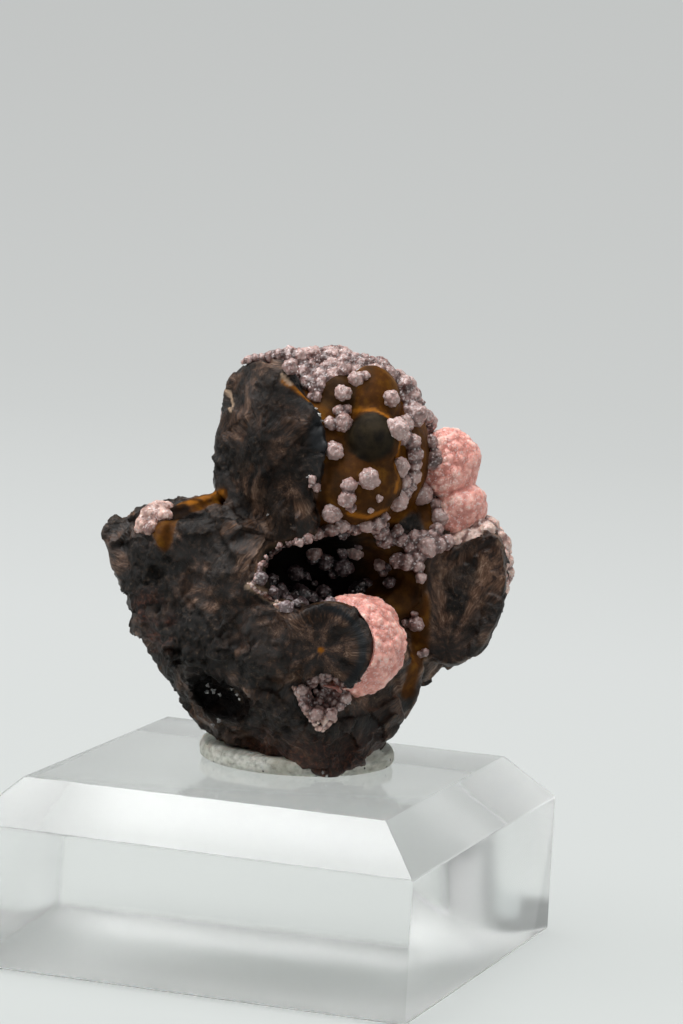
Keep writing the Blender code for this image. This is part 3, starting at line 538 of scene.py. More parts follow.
goethite = {
    "grain": 0.275,
    # Its rounded and broken lumps: centres, radii, a tilt, and the plane that each is broken off at
    "dome": ((1.7, 2.2, 11.6), (11.4, 10.4, 10.4)),
    "wing": ((17.0, 1.6, -4.3), (4.2, 5.4, 7.6), 20.0, ((17.0, 0.2, -4.0), (-0.22, -0.97, 0.08))),
    "nodule": ((2.2, -10.4, -9.0), 4.8, ((2.2, -11.9, -9.0), (-0.08, -0.99, 0.06))),
    "domeFront": (
        (-7.0, -3.0, 21.5), (-5.1, -5.0, 21.6), (-2.1, -7.0, 19.8), (0.9, -9.0, 15.5), (1.8, -9.5, 12.3),
        (1.3, -9.5, 9.1), (0.5, -9.0, 5.9), (-0.8, -8.0, 3.3), (-4.2, -8.0, 2.2), (-10.5, -3.0, 7.8),
        (-10.5, -3.0, 10.3), (-10.0, -3.0, 13.0), (-8.8, -2.0, 16.8), (-8.6, -1.0, 19.7),
        (-4.7, -9.2, 12.9), (-9.8, 3.0, 8.0), (-9.4, 3.0, 16.5), (-5.0, 3.5, 21.0), (0.0, 0.0, 18.0),
        (0.0, 0.0, 5.0)),
    "shoulder": (
        (-22.0, -0.5, 1.8), (-21.4, 1.0, 3.4), (-19.2, 0.5, 5.0), (-16.5, 1.5, 6.3), (-10.5, 3.0, 7.2),
        (-4.0, 0.0, 6.5), (-19.5, -3.6, 2.6), (-15.5, -5.4, 3.4), (-9.0, -7.4, 4.8), (-4.0, -8.4, 2.4),
        (-5.2, -9.2, -1.0), (-12.0, -7.2, -7.5), (-19.6, -2.5, -6.0), (-17.0, 7.0, 2.5), (-10.0, 10.0, 4.5),
        (-17.0, 6.0, -8.0), (-12.0, 11.0, -7.0), (-20.3, 0.0, -4.3), (-7.5, -8.4, -7.0)),
    "body": (
        (-20.3, 0.0, -4.3), (-18.4, -0.5, -9.2), (-15.7, -1.0, -13.8), (-12.4, -1.0, -17.6),
        (-8.6, -0.5, -20.2), (-3.9, -1.0, -22.0), (-17.0, -5.0, -6.0), (-8.0, -9.2, -4.5),
        (-1.0, -9.6, -6.0), (-12.0, -6.5, -12.0), (-6.0, -8.8, -15.5), (1.3, -9.6, -17.6),
        (-0.4, -6.4, -21.2), (2.4, -6.2, -23.6), (9.0, -6.0, -9.5), (12.5, -1.0, -12.0),
        (11.4, -1.0, -15.1), (9.4, -1.2, -17.8), (6.3, -2.0, -21.2), (4.2, -4.4, -23.6),
        (-15.0, 8.0, -6.0), (-10.0, 11.0, -12.0), (-7.0, 10.0, -21.5), (4.0, 13.0, -8.0),
        (6.4, 8.0, -22.4), (12.0, 8.0, -8.0), (5.4, 1.4, -23.2), (-5.0, 4.0, -22.6)),
    "back": (
        (-12.0, 3.0, 5.0), (-11.0, 9.0, 3.5), (-6.0, 12.5, 4.5), (2.0, 13.6, 3.0), (9.0, 12.4, 4.4),
        (14.0, 8.0, 5.0), (15.4, 4.0, 2.0), (14.6, 9.0, -4.0), (8.0, 13.4, -5.0), (-2.0, 13.8, -6.0),
        (-10.0, 11.0, -7.0), (-13.0, 4.0, -7.0), (12.0, 8.0, -11.0), (0.0, 12.4, -13.0),
        (10.0, 10.0, -13.0), (12.0, 0.0, -6.0), (-8.0, -1.0, -9.0), (10.0, 0.0, 6.0), (-6.0, 0.0, 7.0)),
    "lowLedge": (
        (-16.6, -4.8, -5.6), (-9.0, -8.8, -6.4), (-7.8, -9.9, -9.6), (-15.0, -5.8, -10.6),
        (-12.0, -3.0, -5.0), (-12.0, -3.0, -11.0)),
    "rightFlake": (
        (3.4, -8.6, -17.6), (9.9, -4.4, -14.2), (10.5, -3.0, -17.0), (5.2, -6.4, -20.8),
        (5.0, -2.0, -17.0), (8.0, -1.0, -16.0)),
    "foot": (
        (-1.6, -6.8, -21.9), (2.4, -6.9, -23.5), (6.4, -4.6, -21.3), (1.3, -9.0, -18.0), (-4.0, -6.0, -20.4),
        (8.0, -3.0, -18.4), (2.0, -2.0, -23.2), (0.0, 0.0, -20.0)),
    "roundLumps": (
        ((12.2, 6.0, -2.5), (3.6, 6.4, 11.2), ()),
        ((14.6, 6.2, 2.4), (3.8, 4.6, 5.4), ()),
        ((13.6, 7.5, -5.5), (4.4, 4.5, 6.5), ()),
        ((-2.9, -7.8, -8.6), (5.0, 4.6, 4.6), (((-2.4, -11.3, -8.6), (-0.12, -1.0, 0.08)),)),
        ((-2.4, -5.4, 4.6), (3.4, 3.6, 4.6), ()),
        ((-12.2, -3.6, 1.8), (4.4, 3.8, 3.4), (((-12.0, -6.8, 2.0), (-0.1, -1.0, 0.0)),)),
        ((-7.2, -6.8, -1.6), (3.6, 3.4, 4.0), (((-7.2, -9.6, -1.6), (-0.2, -1.0, 0.1)),))),
    # Rounded lumps: centre, radii, and how dark the face towards the viewer is; soot on the nubs, but on the
    # lump at (3.2, -3.4, 17.6) a painted shade for the hollow beside it
    "botryoids": (
        ((6.9, -6.9, 13.2), (3.0, 3.0, 3.0), 1.0), ((4.8, -4.2, 8.4), (5.2, 5.2, 5.2), 0.15),
        ((6.6, -4.2, 17.0), (3.2, 3.4, 4.0), 0.0), ((3.2, -3.4, 17.6), (3.0, 3.8, 3.2), 0.6),
        ((9.7, -1.6, -3.5), (2.5, 2.5, 2.5), 1.0)),
    "cavity": ((3.0, -4.6, -1.3), (9.0, 8.6, 3.9), 4.0),
    "cavityArms": (((9.8, -6.0, -2.4), (3.2, 6.4, 6.8), 0.0), ((11.0, -6.4, 4.0), (3.0, 4.6, 3.4), 0.0)),
    "vug": ((1.6, -11.0, -14.2), (2.7, 3.6, 2.4), 0.0),
    "pits": (
        ((-10.4, -7.4, -15.0), (3.8, 4.4, 2.3), 20.0), ((-13.6, -5.4, 6.0), (3.6, 1.6, 1.5), -15.0),
        ((-16.8, -5.4, -1.6), (1.4, 1.4, 1.4), 0.0), ((-12.6, -7.6, -12.4), (1.6, 1.6, 1.6), 0.0),
        ((-3.6, -10.6, -14.2), (1.3, 1.3, 1.3), 0.0), ((15.6, -1.2, -4.6), (1.0, 1.0, 2.0), 20.0)),
    # Bites that leave the larger pit's edge ragged, and angular blocks left standing on the broken faces
    "bites": (((-8.0, -8.4, -14.9), 1.9), ((-12.8, -6.8, -13.0), 1.8), ((-9.4, -8.0, -17.0), 1.4),
              ((-13.9, -6.0, -14.2), 1.2), ((-7.3, -9.0, -16.2), 1.1)),
    "blocks": 150, "blockSizes": (1.1, 2.9), "blockRise": (0.05, 0.35),
    # Relief, widths and heights: the wedges of fibres, the broken facets, and the crumbs
    "wedges": ((0.55, 0.32), (0.2, 0.12), (0.08, 0.05)), "facets": ((4.2, 0.65), (1.8, 0.16)),
    "crumbs": ((0.95, 0.24), (0.45, 0.10)), "pitWidth": 2.3, "pitDepth": 0.6, "settle": 0.12,
    "deepest": -1.2, "highest": 0.32,
    # The points that its fibres fan out from, in the photograph's pixels, how far each reaches in mm, how
    # brown it is, partly its own colour and partly a painted sheen, and how silky it is
    "fans": (
        (321.6, 649, 3.5, 0.30, 0.9), (262, 452, 3.6, 0.45, 0.75), (290, 470, 2.8, 0.12, 0.8),
        (248, 370, 4.0, 0.60, 0.8), (292, 392, 1.6, 0.20, 0.8),
        (226, 480, 1.5, 0.1, 0.0), (284, 650, 1.5, 0.45, 0.7), (224, 590, 2.4, 0.55, 0.8),
        (190, 552, 1.8, 0.2, 0.6), (165, 570, 0.5, 0.1, 0.2), (140, 575, 0.5, 0.2, 0.0),
        (190, 625, 0.5, 0.2, 0.0), (160, 630, 0.5, 0.3, 0.0), (246, 622, 1.0, 0.4, 0.5),
        (205, 655, 0.5, 0.1, 0.0), (302, 775, 1.8, 0.3, 0.7), (330, 775, 1.5, 0.25, 0.6),
        (448, 650, 5.5, 0.40, 0.8), (230, 745, 0.5, 0.3, 0.2), (262, 725, 0.5, 0.2, 0.2),
        (182, 515, 0.5, 0.2, 0.2), (248, 590, 1.2, 0.3, 0.7), (392, 742, 2.0, 0.4, 0.6)),
    "spareFans": 70,
    # The ochre ridge along the shoulder's edge, in the photograph's pixels
    "ridge": ((161, 548), (162, 533), (167, 520), (177, 512), (189, 507), (201, 503), (213, 499), (223, 494),
              (229, 490)),
    "ridgeRadius": 0.95,
    # Where its bright rims, its skin, its crusts and its stains run, in the photograph's pixels, and their
    # widths in mm; the last bright line, along the top of the ochre ridge, is a painted highlight
    "brightLines": (
        (((349, 413), (360, 409), (375, 409), (389, 416), (398, 427), (401, 441), (396, 463)), 0.32),
        (((396, 466), (399, 478), (396, 492)), 0.4), (((350, 513), (368, 517), (388, 509)), 0.4),
        (((284, 380), (300, 391), (315, 407)), 0.35), (((180, 505), (200, 499), (222, 491)), 0.45)),
    "ochreLines": ((((284, 380), (300, 391), (315, 407)), 0.45),
                   (((392, 497), (412, 500), (428, 508), (432, 522)), 1.5),
                   (((418, 570), (421, 600), (421, 630), (418, 655), (411, 680), (407, 690)), 1.25)),
    "creamLines": ((((227, 388), (231, 410)), 0.28), (((283, 375), (291, 383)), 0.3),
                   (((250, 585), (268, 594), (285, 607)), 0.5), (((228, 686), (238, 691), (242, 700)), 0.35)),
    "blueLines": ((((300, 385), (322, 415), (325, 445), (320, 462)), 1.9),),
    # Crumbly places, places darkened by painted shade, red-brown places and the ochre heart of the broken
    # nodule: across, down, width in mm, and for the shaded ones their strength
    "roughSpots": (
        (252, 448, 2.2), (222, 458, 2.6), (456, 600, 1.9), (150, 572, 4.5), (190, 640, 5.0), (250, 668, 2.6)),
    "paintedShadeSpots": ((262, 440, 6.5, 0.8), (268, 505, 4.5, 1.0), (321.6, 649, 4.9, 0.75), (215, 520, 2.5, 0.4)),
    "redPatch": (150, 625, 4.0),
    "noduleHeart": (321.6, 649, 0.5),
}


def underside():
    mesh = bmesh.new()
    bmesh.ops.create_cube(mesh, size=50.0)
    lowered = Matrix.Translation((0.0, 0.0, (stone["bottom"] - 25.0) * mm)) @ Matrix.Scale(mm, 4)
    bmesh.ops.transform(mesh, matrix=stonePlace.inverted() @ lowered, verts=mesh.verts)
    return mesh


def ridgeSpots(surface):
    # A smooth tube, thin at its ends, that lies on the edge, a little towards the viewer
    found = [seenOn(surface, across, down) for across, down in alongPath(goethite["ridge"], 1.5)]
    found = [spot + Vector((0.0, -0.7, -0.1)) for spot in found if spot and spot.y < 6.0]
    last = len(found) - 1
    tube = []
    for number in range(last + 1):
        near = found[max(0, number - 7):number + 8]
        share = min(1.0, 0.45 + 0.04 * number, 0.1 + 0.05 * (last - number))
        tube.append((sum(near, Vector()) / len(near), goethite["ridgeRadius"] * share))
    return tube


def addBlocks(thing):
    # Angular blocks sunk in the broken faces, so that the stone has ledges and corners
    dice = random.Random(17)
    spots, facing = points(thing), normals(thing)
    ridge = ridgeSpots(surfaceOf(thing))
    shells = []
    while len(shells) < goethite["blocks"]:
        pick = dice.randrange(len(spots))
        spot, outward = Vector(spots[pick]), Vector(facing[pick])
        lumps = [goethite["dome"]] + [item[:2] for item in goethite["botryoids"]]
        onSkin = min(roundness(spots[pick:pick + 1], *lump)[0] for lump in lumps)
        onNodule = (spot - Vector(goethite["nodule"][0])).length < 6.0
        onWing = roundness(spots[pick:pick + 1], *goethite["wing"][:3])[0] < 1.15 and spot.y < 1.0
        across, down = inPixels(spot)
        inWindow = 318 < across < 450 and 370 < down < 620 and spot.y < 2.0
        onRidge = min((spot - place).length for place, _ in ridge) < 3.0
        if onSkin < 1.12 or onNodule or onWing or inWindow or onRidge:
            continue
        size = dice.uniform(*goethite["blockSizes"])
        corners = [anyWay(dice).normalized() * size * dice.uniform(0.8, 1.0) for _ in range(8)]
        rise = dice.uniform(*goethite["blockRise"])
        corners = [corner + outward * (rise - max(0.0, corner.dot(outward))) for corner in corners]
        shells.append(hullOf([spot + corner for corner in corners]))
    whole = joinShells(shells + [ball(spot, radius, 3) for spot, radius in ridge])
    whole.from_mesh(thing.data)
    whole.to_mesh(thing.data)
    whole.free()
    remesh(thing, goethite["grain"])
    return ridge


def growGoethite():
    wingCentre, wingRadii, wingTilt, wingBreak = goethite["wing"]
    noduleCentre, noduleRadius, noduleBreak = goethite["nodule"]
    shells = [ball(*goethite["dome"], detail=5)]
    shells += [chunk(goethite[part])
               for part in ("domeFront", "shoulder", "body", "back", "lowLedge", "rightFlake", "foot")]
    shells += [ball(centre, radii, 5, breaks=breaks) for centre, radii, breaks in goethite["roundLumps"]]
    shells.append(ball(wingCentre, wingRadii, 5, wingTilt, (wingBreak,)))
    shells.append(ball(noduleCentre, noduleRadius, 5, breaks=(noduleBreak,)))
    shells += [ball(*lump[:2], 5) for lump in goethite["botryoids"]]
    thing = makeObject("goethite", joinShells(shells))
    remesh(thing, goethite["grain"])
    stage(f"goethite grown together: {len(thing.data.polygons)} faces")
    ridge = addBlocks(thing)
    hollows = [goethite["cavity"], goethite["vug"], *goethite["cavityArms"], *goethite["pits"]]
    bites = [ball(centre, radius, 2) for centre, radius in goethite["bites"]]
    cutAway(thing, [ball(centre, radii, 4, tilt) for centre, radii, tilt in hollows] + bites + [underside()])
    remesh(thing, goethite["grain"])
    keepLargest(thing)
    stage(f"its hollows cut: {len(thing.data.polygons)} faces")
    return thing, ridge


def nearLines(spots, surface, lines):
    # 1 on any of the lines, 0 a width away from them
    near = np.zeros(len(spots))
    for path, width in lines:
        tree = kdtree.KDTree(1000)
        for count, (across, down) in enumerate(alongPath(path, 1.5)):
            hit = seenOn(surface, across, down)
            if hit:
                tree.insert(hit, count)
        tree.balance()
        away = np.array([tree.find(spot)[2] for spot in spots])
        near = np.maximum(near, 1.0 - smoothStep(0.55 * width, 1.1 * width, away))
    return near


def widthsAway(spots, surface, place):
    # How many of its widths everything lies from a place in the photograph
    across, down, width = place[:3]
    return np.linalg.norm(spots - np.array(seenOn(surface, across, down)), axis=1) / width


def grownSkin(spots, surface, ridge):
    # Skin where the rounded lumps and the cavity still have their grown surface; their dark tops, soot on the
    # nubs and painted shade in the cavity and on one lump; bright rims; and the painted shade that blackens
    # the inside of the hollows
    skin, shade, hollow, inCavity = np.zeros((4, len(spots)))
    lumps = goethite["botryoids"] + tuple((spot, (radius,) * 3, 0.0) for spot, radius in ridge)
    for centre, radii, nub in lumps:
        away = np.abs(roundness(spots, centre, radii) - 1.0) * radii[0]
        low, high = (0.45, 0.70) if radii[0] < 1.0 else (0.30, 0.50)     # wider on the thin ridge
        near = 1.0 - smoothStep(low, high, away)
        outward = (spots - np.array(centre)) / np.array(radii)
        outward /= np.linalg.norm(outward, axis=1)[:, None] + 1e-9
        top = outward @ np.array((-0.16, -0.98, 0.05))
        skin = np.maximum(skin, near)
        shade = np.maximum(shade, nub * near * smoothStep(0.25, 0.65, top))
    domeAway = np.abs(roundness(spots, *goethite["dome"]) - 1.0) * 10.4
    skin = np.maximum(skin, 1.0 - smoothStep(0.25, 0.45, domeAway))
    # Painted shade: blackened towards the back of the cavity and of the two largest pits
    for centre, radii, tilt in (goethite["cavity"], *goethite["pits"][:2]):
        inside = smoothStep(1.3, 1.1, roundness(spots, centre, radii, tilt))
        start = 0.45 * radii[1]
        hollow = np.maximum(hollow, inside * smoothStep(-start, 0.25 * radii[1], spots[:, 1] - centre[1]))
    for centre, radii, tilt in (goethite["cavity"], *goethite["cavityArms"]):
        away = np.abs(roundness(spots, centre, radii, tilt) - 1.0) * min(radii)
        inCavity = np.maximum(inCavity, 1.0 - smoothStep(0.3, 0.7, away))
    skin = np.maximum(skin, inCavity)
    hollow *= 1.0 - inCavity * smoothStep(4.0, 7.0, spots[:, 0])
    # Painted shade: the cavity's ochre skin darkens towards its left, and a little all over
    shade = np.maximum(shade, inCavity * smoothStep(9.0, 3.0, spots[:, 0]))
    shade = np.maximum(shade, 0.35 * inCavity)
    skin = np.maximum(skin, nearLines(spots, surface, goethite["ochreLines"]))
    bright = nearLines(spots, surface, goethite["brightLines"])
    bright *= smoothStep(-0.6, 0.1, waves(spots, 0.9, 5.0))
    heart = 1.0 - smoothStep(0.5, 1.0, widthsAway(spots, surface, goethite["noduleHeart"]))
    bright = np.maximum(bright, 0.7 * heart)
    skin = np.maximum(skin, np.maximum(bright, heart))
    return skin, shade * (1.0 - 0.8 * bright), bright, hollow


def fansOfFibres(spots, facing, surface):
    # Each spot belongs to the nearest fan, and its fibre runs straight away from the fan's middle, along the
    # fan's own plane
    dice = random.Random(7)
    fans = []
    for across, down, reach, tone, silk in goethite["fans"]:
        hit = seenOn(surface, across, down)
        if hit:
            near = np.linalg.norm(spots - np.array(hit), axis=1) < 2.5
            fans.append((np.array(hit), facing[near].mean(axis=0), reach, tone, silk))
    for _ in range(goethite["spareFans"]):
        pick = dice.randrange(len(spots))
        if spots[pick][1] > 2.0:
            fans.append((spots[pick], facing[pick], dice.uniform(0.0, 1.5), dice.uniform(0.0, 0.6),
                         dice.choice((0.0, 0.2, 0.7))))
    centres, planes, reaches, tones, silks = (np.array(values) for values in zip(*fans))
    planes /= np.linalg.norm(planes, axis=1)[:, None]
    best = np.full(len(spots), 1e9)
    owner = np.zeros(len(spots), dtype=int)
    wobble = 0.9 * waves(spots, 2.2, 7.0)
    for number, (centre, reach) in enumerate(zip(centres, reaches)):
        away = np.linalg.norm(spots - centre, axis=1) - reach + wobble * (number != 0)
        closer = away < best
        best[closer] = away[closer]
        owner[closer] = number
    out = spots - centres[owner]
    distance = np.linalg.norm(out, axis=1)
    along = out - (out * planes[owner]).sum(axis=1)[:, None] * planes[owner]
    direction = along / (np.linalg.norm(along, axis=1)[:, None] + 1e-6)
    # Few and broad near a fan's middle, more and finer further out, and never quite straight
    opening = 0.35 + 0.65 * smoothStep(0.0, 3.5, distance)
    bend = np.column_stack([waves(spots, 1.7, shift) for shift in (11.0, 13.0, 17.0)])
    fibre = (direction * opening[:, None] + 0.05 * bend + planes[owner] * (0.05 * distance)[:, None]
             + 0.37 * owner[:, None])
    wedge = direction + 0.37 * owner[:, None] + 0.25 * bend
    # Brown wedges and patches, partly the fibres' own colour and partly a painted sheen
    brownAndSheen = tones[owner] - 0.08 + 1.7 * waves(wedge, 0.5, 3.0) + 0.9 * waves(spots, 2.6, 8.0)
    brownAndSheen = np.clip(brownAndSheen, 0.0, 1.0) * smoothStep(0.4, 2.6, distance + 2.0 * (owner == 0))
    # The first fan is the broken nodule's own face, blue-grey round its right rim
    fromNodule = np.linalg.norm(spots - centres[0], axis=1)
    onNodule = (owner == 0) & (fromNodule < 4.9) & (spots[:, 1] < -9.5)
    rim = smoothStep(3.8, 4.3, fromNodule) * smoothStep(-2.0, 1.0, spots[:, 0] - centres[0][0])
    return fibre, direction, distance, brownAndSheen, silks[owner], onNodule, onNodule * rim


def roughAndDark(spots, surface, skin, onNodule):
    # Crumbly places, faces darkened and dulled by painted shade, and the earthy red-brown of the underside
    # and of one patch
    rough = smoothStep(0.02, 0.20, waves(spots, 4.0, 3.0)) * 0.75
    for place in goethite["roughSpots"]:
        away = widthsAway(spots, surface, place) + 0.5 * waves(spots, 1.5, 2.0)
        rough = np.maximum(rough, 1.0 - smoothStep(0.6, 1.0, away))
    paintedShade = np.zeros(len(spots))
    for place in goethite["paintedShadeSpots"]:
        away = widthsAway(spots, surface, place) + 0.25 * waves(spots, 2.5, 9.0)
        paintedShade = np.maximum(paintedShade, place[3] * (1.0 - smoothStep(0.7, 1.15, away)))
    low = smoothStep(-17.5, -21.5, spots[:, 2] + 1.2 * waves(spots, 2.0, 5.0))
    patch = 1.0 - smoothStep(0.5, 1.2, widthsAway(spots, surface, goethite["redPatch"]))
    red = np.maximum(0.8 * low, patch * smoothStep(-0.1, 0.2, waves(spots, 1.6, 1.0)))
    return rough * (1.0 - onNodule) * (1.0 - skin), paintedShade * (1.0 - skin), red


def reliefOf(spots, fibre, distance, skin, rough, silky, onNodule):
    # Tilted facets and ledges, wedges and ridges that run out along the fibres, crumbs and pits
    (broad, broadHeight), (narrow, narrowHeight), (fine, fineHeight) = goethite["wedges"]
    (large, largeHeight), (small, smallHeight) = goethite["facets"]
    (crumb, crumbHeight), (crumple, crumpleHeight) = goethite["crumbs"]
    bare = 1.0 - skin
    loose = bare * np.where(onNodule, 0.1, 1.0) * (1.0 - 0.65 * silky)
    spread = np.clip(distance / 3.0, 0.0, 1.0)
    wedges = (broadHeight * facets(fibre, broad, 0.4) + narrowHeight * facets(fibre, narrow, 0.9)
              + fineHeight * waves(fibre, fine))
    heights = bare * spread * wedges * (1.0 - 0.5 * rough)
    heights += loose * (largeHeight * facets(spots, large, 0.3) + smallHeight * facets(spots, small, 0.7))
    heights += rough * (crumbHeight * facets(spots, crumb, 0.1) + crumpleHeight * waves(spots, crumple, 6.0))
    pits = smoothStep(0.26, 0.10, grains(spots, goethite["pitWidth"]))
    pits *= smoothStep(0.0, 0.2, waves(spots, 4.0, 1.0))
    heights -= loose * pits * goethite["pitDepth"] * rough
    heights += skin * (0.06 * waves(spots, 0.9, 2.0) + 0.03 * waves(spots * np.array((0.4, 1.0, 3.0)), 1.2))
    flat = smoothStep(0.9, 0.3, worldHeights(spots) - stone["bottom"])
    heights -= goethite["settle"] * loose
    return np.clip(heights, goethite["deepest"], goethite["highest"]) * (1.0 - flat)


def dressGoethite(thing, ridge):
    # Its relief, and the attributes that its material reads
    surface = surfaceOf(thing)
    spots, facing = points(thing), normals(thing)
    skin, shade, bright, hollow = grownSkin(spots, surface, ridge)
    pale = nearLines(spots, surface, goethite["creamLines"])
    blue = nearLines(spots, surface, goethite["blueLines"])
    fibre, direction, distance, brownAndSheen, silky, onNodule, blueRim = fansOfFibres(spots, facing, surface)
    rough, paintedShade, red = roughAndDark(spots, surface, skin, onNodule)
    moveOut(thing, reliefOf(spots, fibre, distance, skin, rough, silky, onNodule))
    rows = np.array(stonePlace)[:3, :3] / mm
    keepAttribute(thing, "fibre", "FLOAT_VECTOR", fibre)
    keepAttribute(thing, "brownAndSheen", "FLOAT", brownAndSheen)
    keepAttribute(thing, "paintedShade", "FLOAT", paintedShade)
    keepAttribute(thing, "fibreLine", "FLOAT_VECTOR", direction @ rows.T)
    # The masks' last value, hollow, is painted shade
    keepAttribute(thing, "masks", "FLOAT_COLOR", np.column_stack((skin, pale, red, hollow)))
    blue = np.maximum(blue, blueRim)
    keepAttribute(thing, "looks", "FLOAT_COLOR", np.column_stack((blue, rough, shade, bright)))


# Beads of rhodochrosite, grown into each other and over what carries them

beads = {
    "grain": 0.17,
    # A bead's core, the smaller ones grown on it and how far out they reach, as shares of its radius
    "core": 0.92, "knobSizes": (0.40, 0.66), "knobReach": 1.10,
    # In the window and along its lower rim, in the photograph's pixels: across, down, radius
    "window": (
        (333, 366, 9.5), (344, 370, 8), (353, 365, 6), (357, 378, 8), (366, 375, 5), (343, 392, 8.5),
        (339, 410, 6), (347, 409, 5.5), (331, 422, 7), (344, 422, 9.5), (335, 450, 9.5), (370, 478, 11),
        (350, 484, 8), (348, 498, 9), (352, 507, 5), (332, 513, 10), (380, 498, 4), (371, 510, 3.5),
        (300, 541, 5), (308, 538, 6), (317, 533, 7), (325, 530, 7), (332, 528, 8), (343, 524, 8),
        (350, 527, 6), (356, 528, 7), (367, 525, 8), (378, 522, 8), (384, 517, 6), (313, 478, 4.5),
        (317, 486, 5), (311, 484, 3)),
    # The columns at the window's right, where the crust is open between them
    "columns": (
        (401, 466, 8), (405, 481, 6), (398, 501, 9), (404, 493, 6), (421, 493, 9.5), (412, 442, 8),
        (414, 453, 8), (415, 464, 7), (414, 476, 7), (411, 486, 5), (398, 427, 9.5), (406, 422, 7),
        (403, 437, 7), (392, 398, 7.5), (406, 397, 11), (414, 415, 11), (421, 409, 8), (427, 418, 8),
        (429, 434, 9.5), (431, 424, 8), (439, 446, 7), (434, 463, 11), (433, 475, 8), (440, 457, 7),
        (436, 486, 6), (434, 496, 5), (437, 506, 6.5), (439, 518, 7.5), (437, 529, 6), (443, 474, 7),
        (386, 539, 8), (393, 538, 6), (398, 531, 5), (402, 540, 6), (415, 537, 6.5), (423, 535, 4.5),
        (428, 547, 9), (437, 545, 8), (446, 543, 7), (398, 561, 7), (408, 562, 7), (418, 566, 6),
        (421, 578, 5), (380, 565, 6), (383, 573, 4), (409, 546, 6), (432, 538, 6), (419, 556, 6)),
    "onWall": ((416, 624, 8), (406, 623, 5), (414, 614, 4), (425, 652, 5), (420, 655, 4)),
    "crestFront": (
        (291, 366, 7), (299, 361, 8), (301, 374, 7), (310, 370, 8), (308, 383, 7), (316, 388, 6),
        (317, 396, 5), (321, 376, 7), (325, 363, 9), (312, 396, 4)),
}

crust = {
    # Beads and the finer ones between them: how many, their radii, and how far their middles stand out
    "count": 430, "radii": (0.75, 1.4), "rise": (0.2, 0.65),
    "fillers": 760, "fillerRadii": (0.75, 1.0), "fillerRise": (-0.15, 0.15),
    # How far they stray from even steps, and the height above the block's underside that none passes
    "wander": 0.55, "top": 65.2,
    # The window that it leaves open, and the planes that it ends at, the lower one raggedly
    "windowCentre": (4.5, -10.0, 9.4), "windowRadii": (6.3, 7.6, 10.4),
    "lowerEdge": ((0.0, 0.0, 3.2), (0.0, -0.2, -0.98)), "ragged": 2.4,
    "leftEdge": ((-8.8, 3.0, 14.0), (-0.95, -0.30, 0.0)),
    # Bare between the columns, over the cavity and on the broken front, in pixels: left, right, top, bottom
    "bare": ((384, 431, 388, 560), (262, 384, 532, 600), (215, 319, 384, 533)),
    # Where its finer front ends, and the grain of the rest
    "frontEnd": 1.5, "backGrain": 0.19,
    # Beads over the top edge of the broken front: across, down, radius in pixels, and their depth in mm
    "edgeBeads": ((243, 362, 3.5), (249, 359, 5), (256, 358, 5), (263, 358, 6), (271, 357, 8), (280, 356, 9),
                  (289, 355, 10), (298, 355, 10), (276, 364, 6), (285, 366, 7)),
    "edgeDepth": -3.0,
}


def seenBeads(surface, seen, sink=0.25, growth=1.1):
    # A bead on the surface for each place in the photograph
    found = []
    for across, down, radius in seen:
        hit = seenOn(surface, across, down)
        if not hit:
            continue
        size = growth * radius * (stone["viewDistance"] + hit[1]) / stone["pixelsAcross"]
        toViewer = -sightLine(across, down).normalized()
        found.append((hit + toViewer * size * (1.0 - 2.0 * sink) * 0.6, size))
    return found


def knobbly(spheres, knobs, seed):
    # Each bead with smaller ones grown on it, mostly outward and up
    dice = random.Random(seed)
    found = []
    for centre, radius in spheres:
        found.append((centre, radius * beads["core"]))
        for _ in range(knobs):
            away = anyWay(dice)
            away += Vector((0.0, -0.5 if centre[1] < crust["frontEnd"] else 0.5, 0.2))
            size = radius * dice.uniform(*beads["knobSizes"])
            found.append((centre + away.normalized() * (radius * beads["knobReach"] - size), size))
    # None stands higher than the solids do
    tops = [(stonePlace @ centre).z / mm + radius for centre, radius in found]
    return [(centre - Vector((0.0, 0.0, max(0.0, top - crust["top"]))), radius)
            for (centre, radius), top in zip(found, tops)]


def growBeads(name, spheres, grain, druze=0.13, width=0.5, knobs=5):
    # Spheres joined into one crust, then roughened with a sugar of small crystals
    whole = knobbly(spheres, knobs, len(spheres))
    thing = makeObject(name, joinShells([ball(centre, radius, 2) for centre, radius in whole]))
    remesh(thing, grain)
    dressDruze(thing, spheres, druze, width)
    return thing


def dressDruze(thing, spheres, druze, width):
    # A sugar of small crystals; the grooves between the beads are kept as low places, which the material
    # darkens as painted shade
    spots = points(thing)
    cells = grains(spots, width)
    moveOut(thing, druze * (1.0 - 2.2 * cells))
    tree = kdtree.KDTree(len(spheres))
    for number, sphere in enumerate(spheres):
        tree.insert(sphere[0], number)
    tree.balance()
    dice = random.Random(len(spheres))
    tints = [dice.random() for _ in spheres]
    height, tint = [], []
    for spot in spots:
        near = sorted((away / spheres[number][1], number) for centre, number, away in tree.find_n(spot, 4))
        height.append(near[1][0] - near[0][0] if len(near) > 1 else 1.0)
        tint.append(tints[near[0][1]])
    rise = smoothStep(0.0, 0.5, np.array(height)) - 0.3 * cells
    keepAttribute(thing, "height", "FLOAT", rise)
    keepAttribute(thing, "tint", "FLOAT", tint)


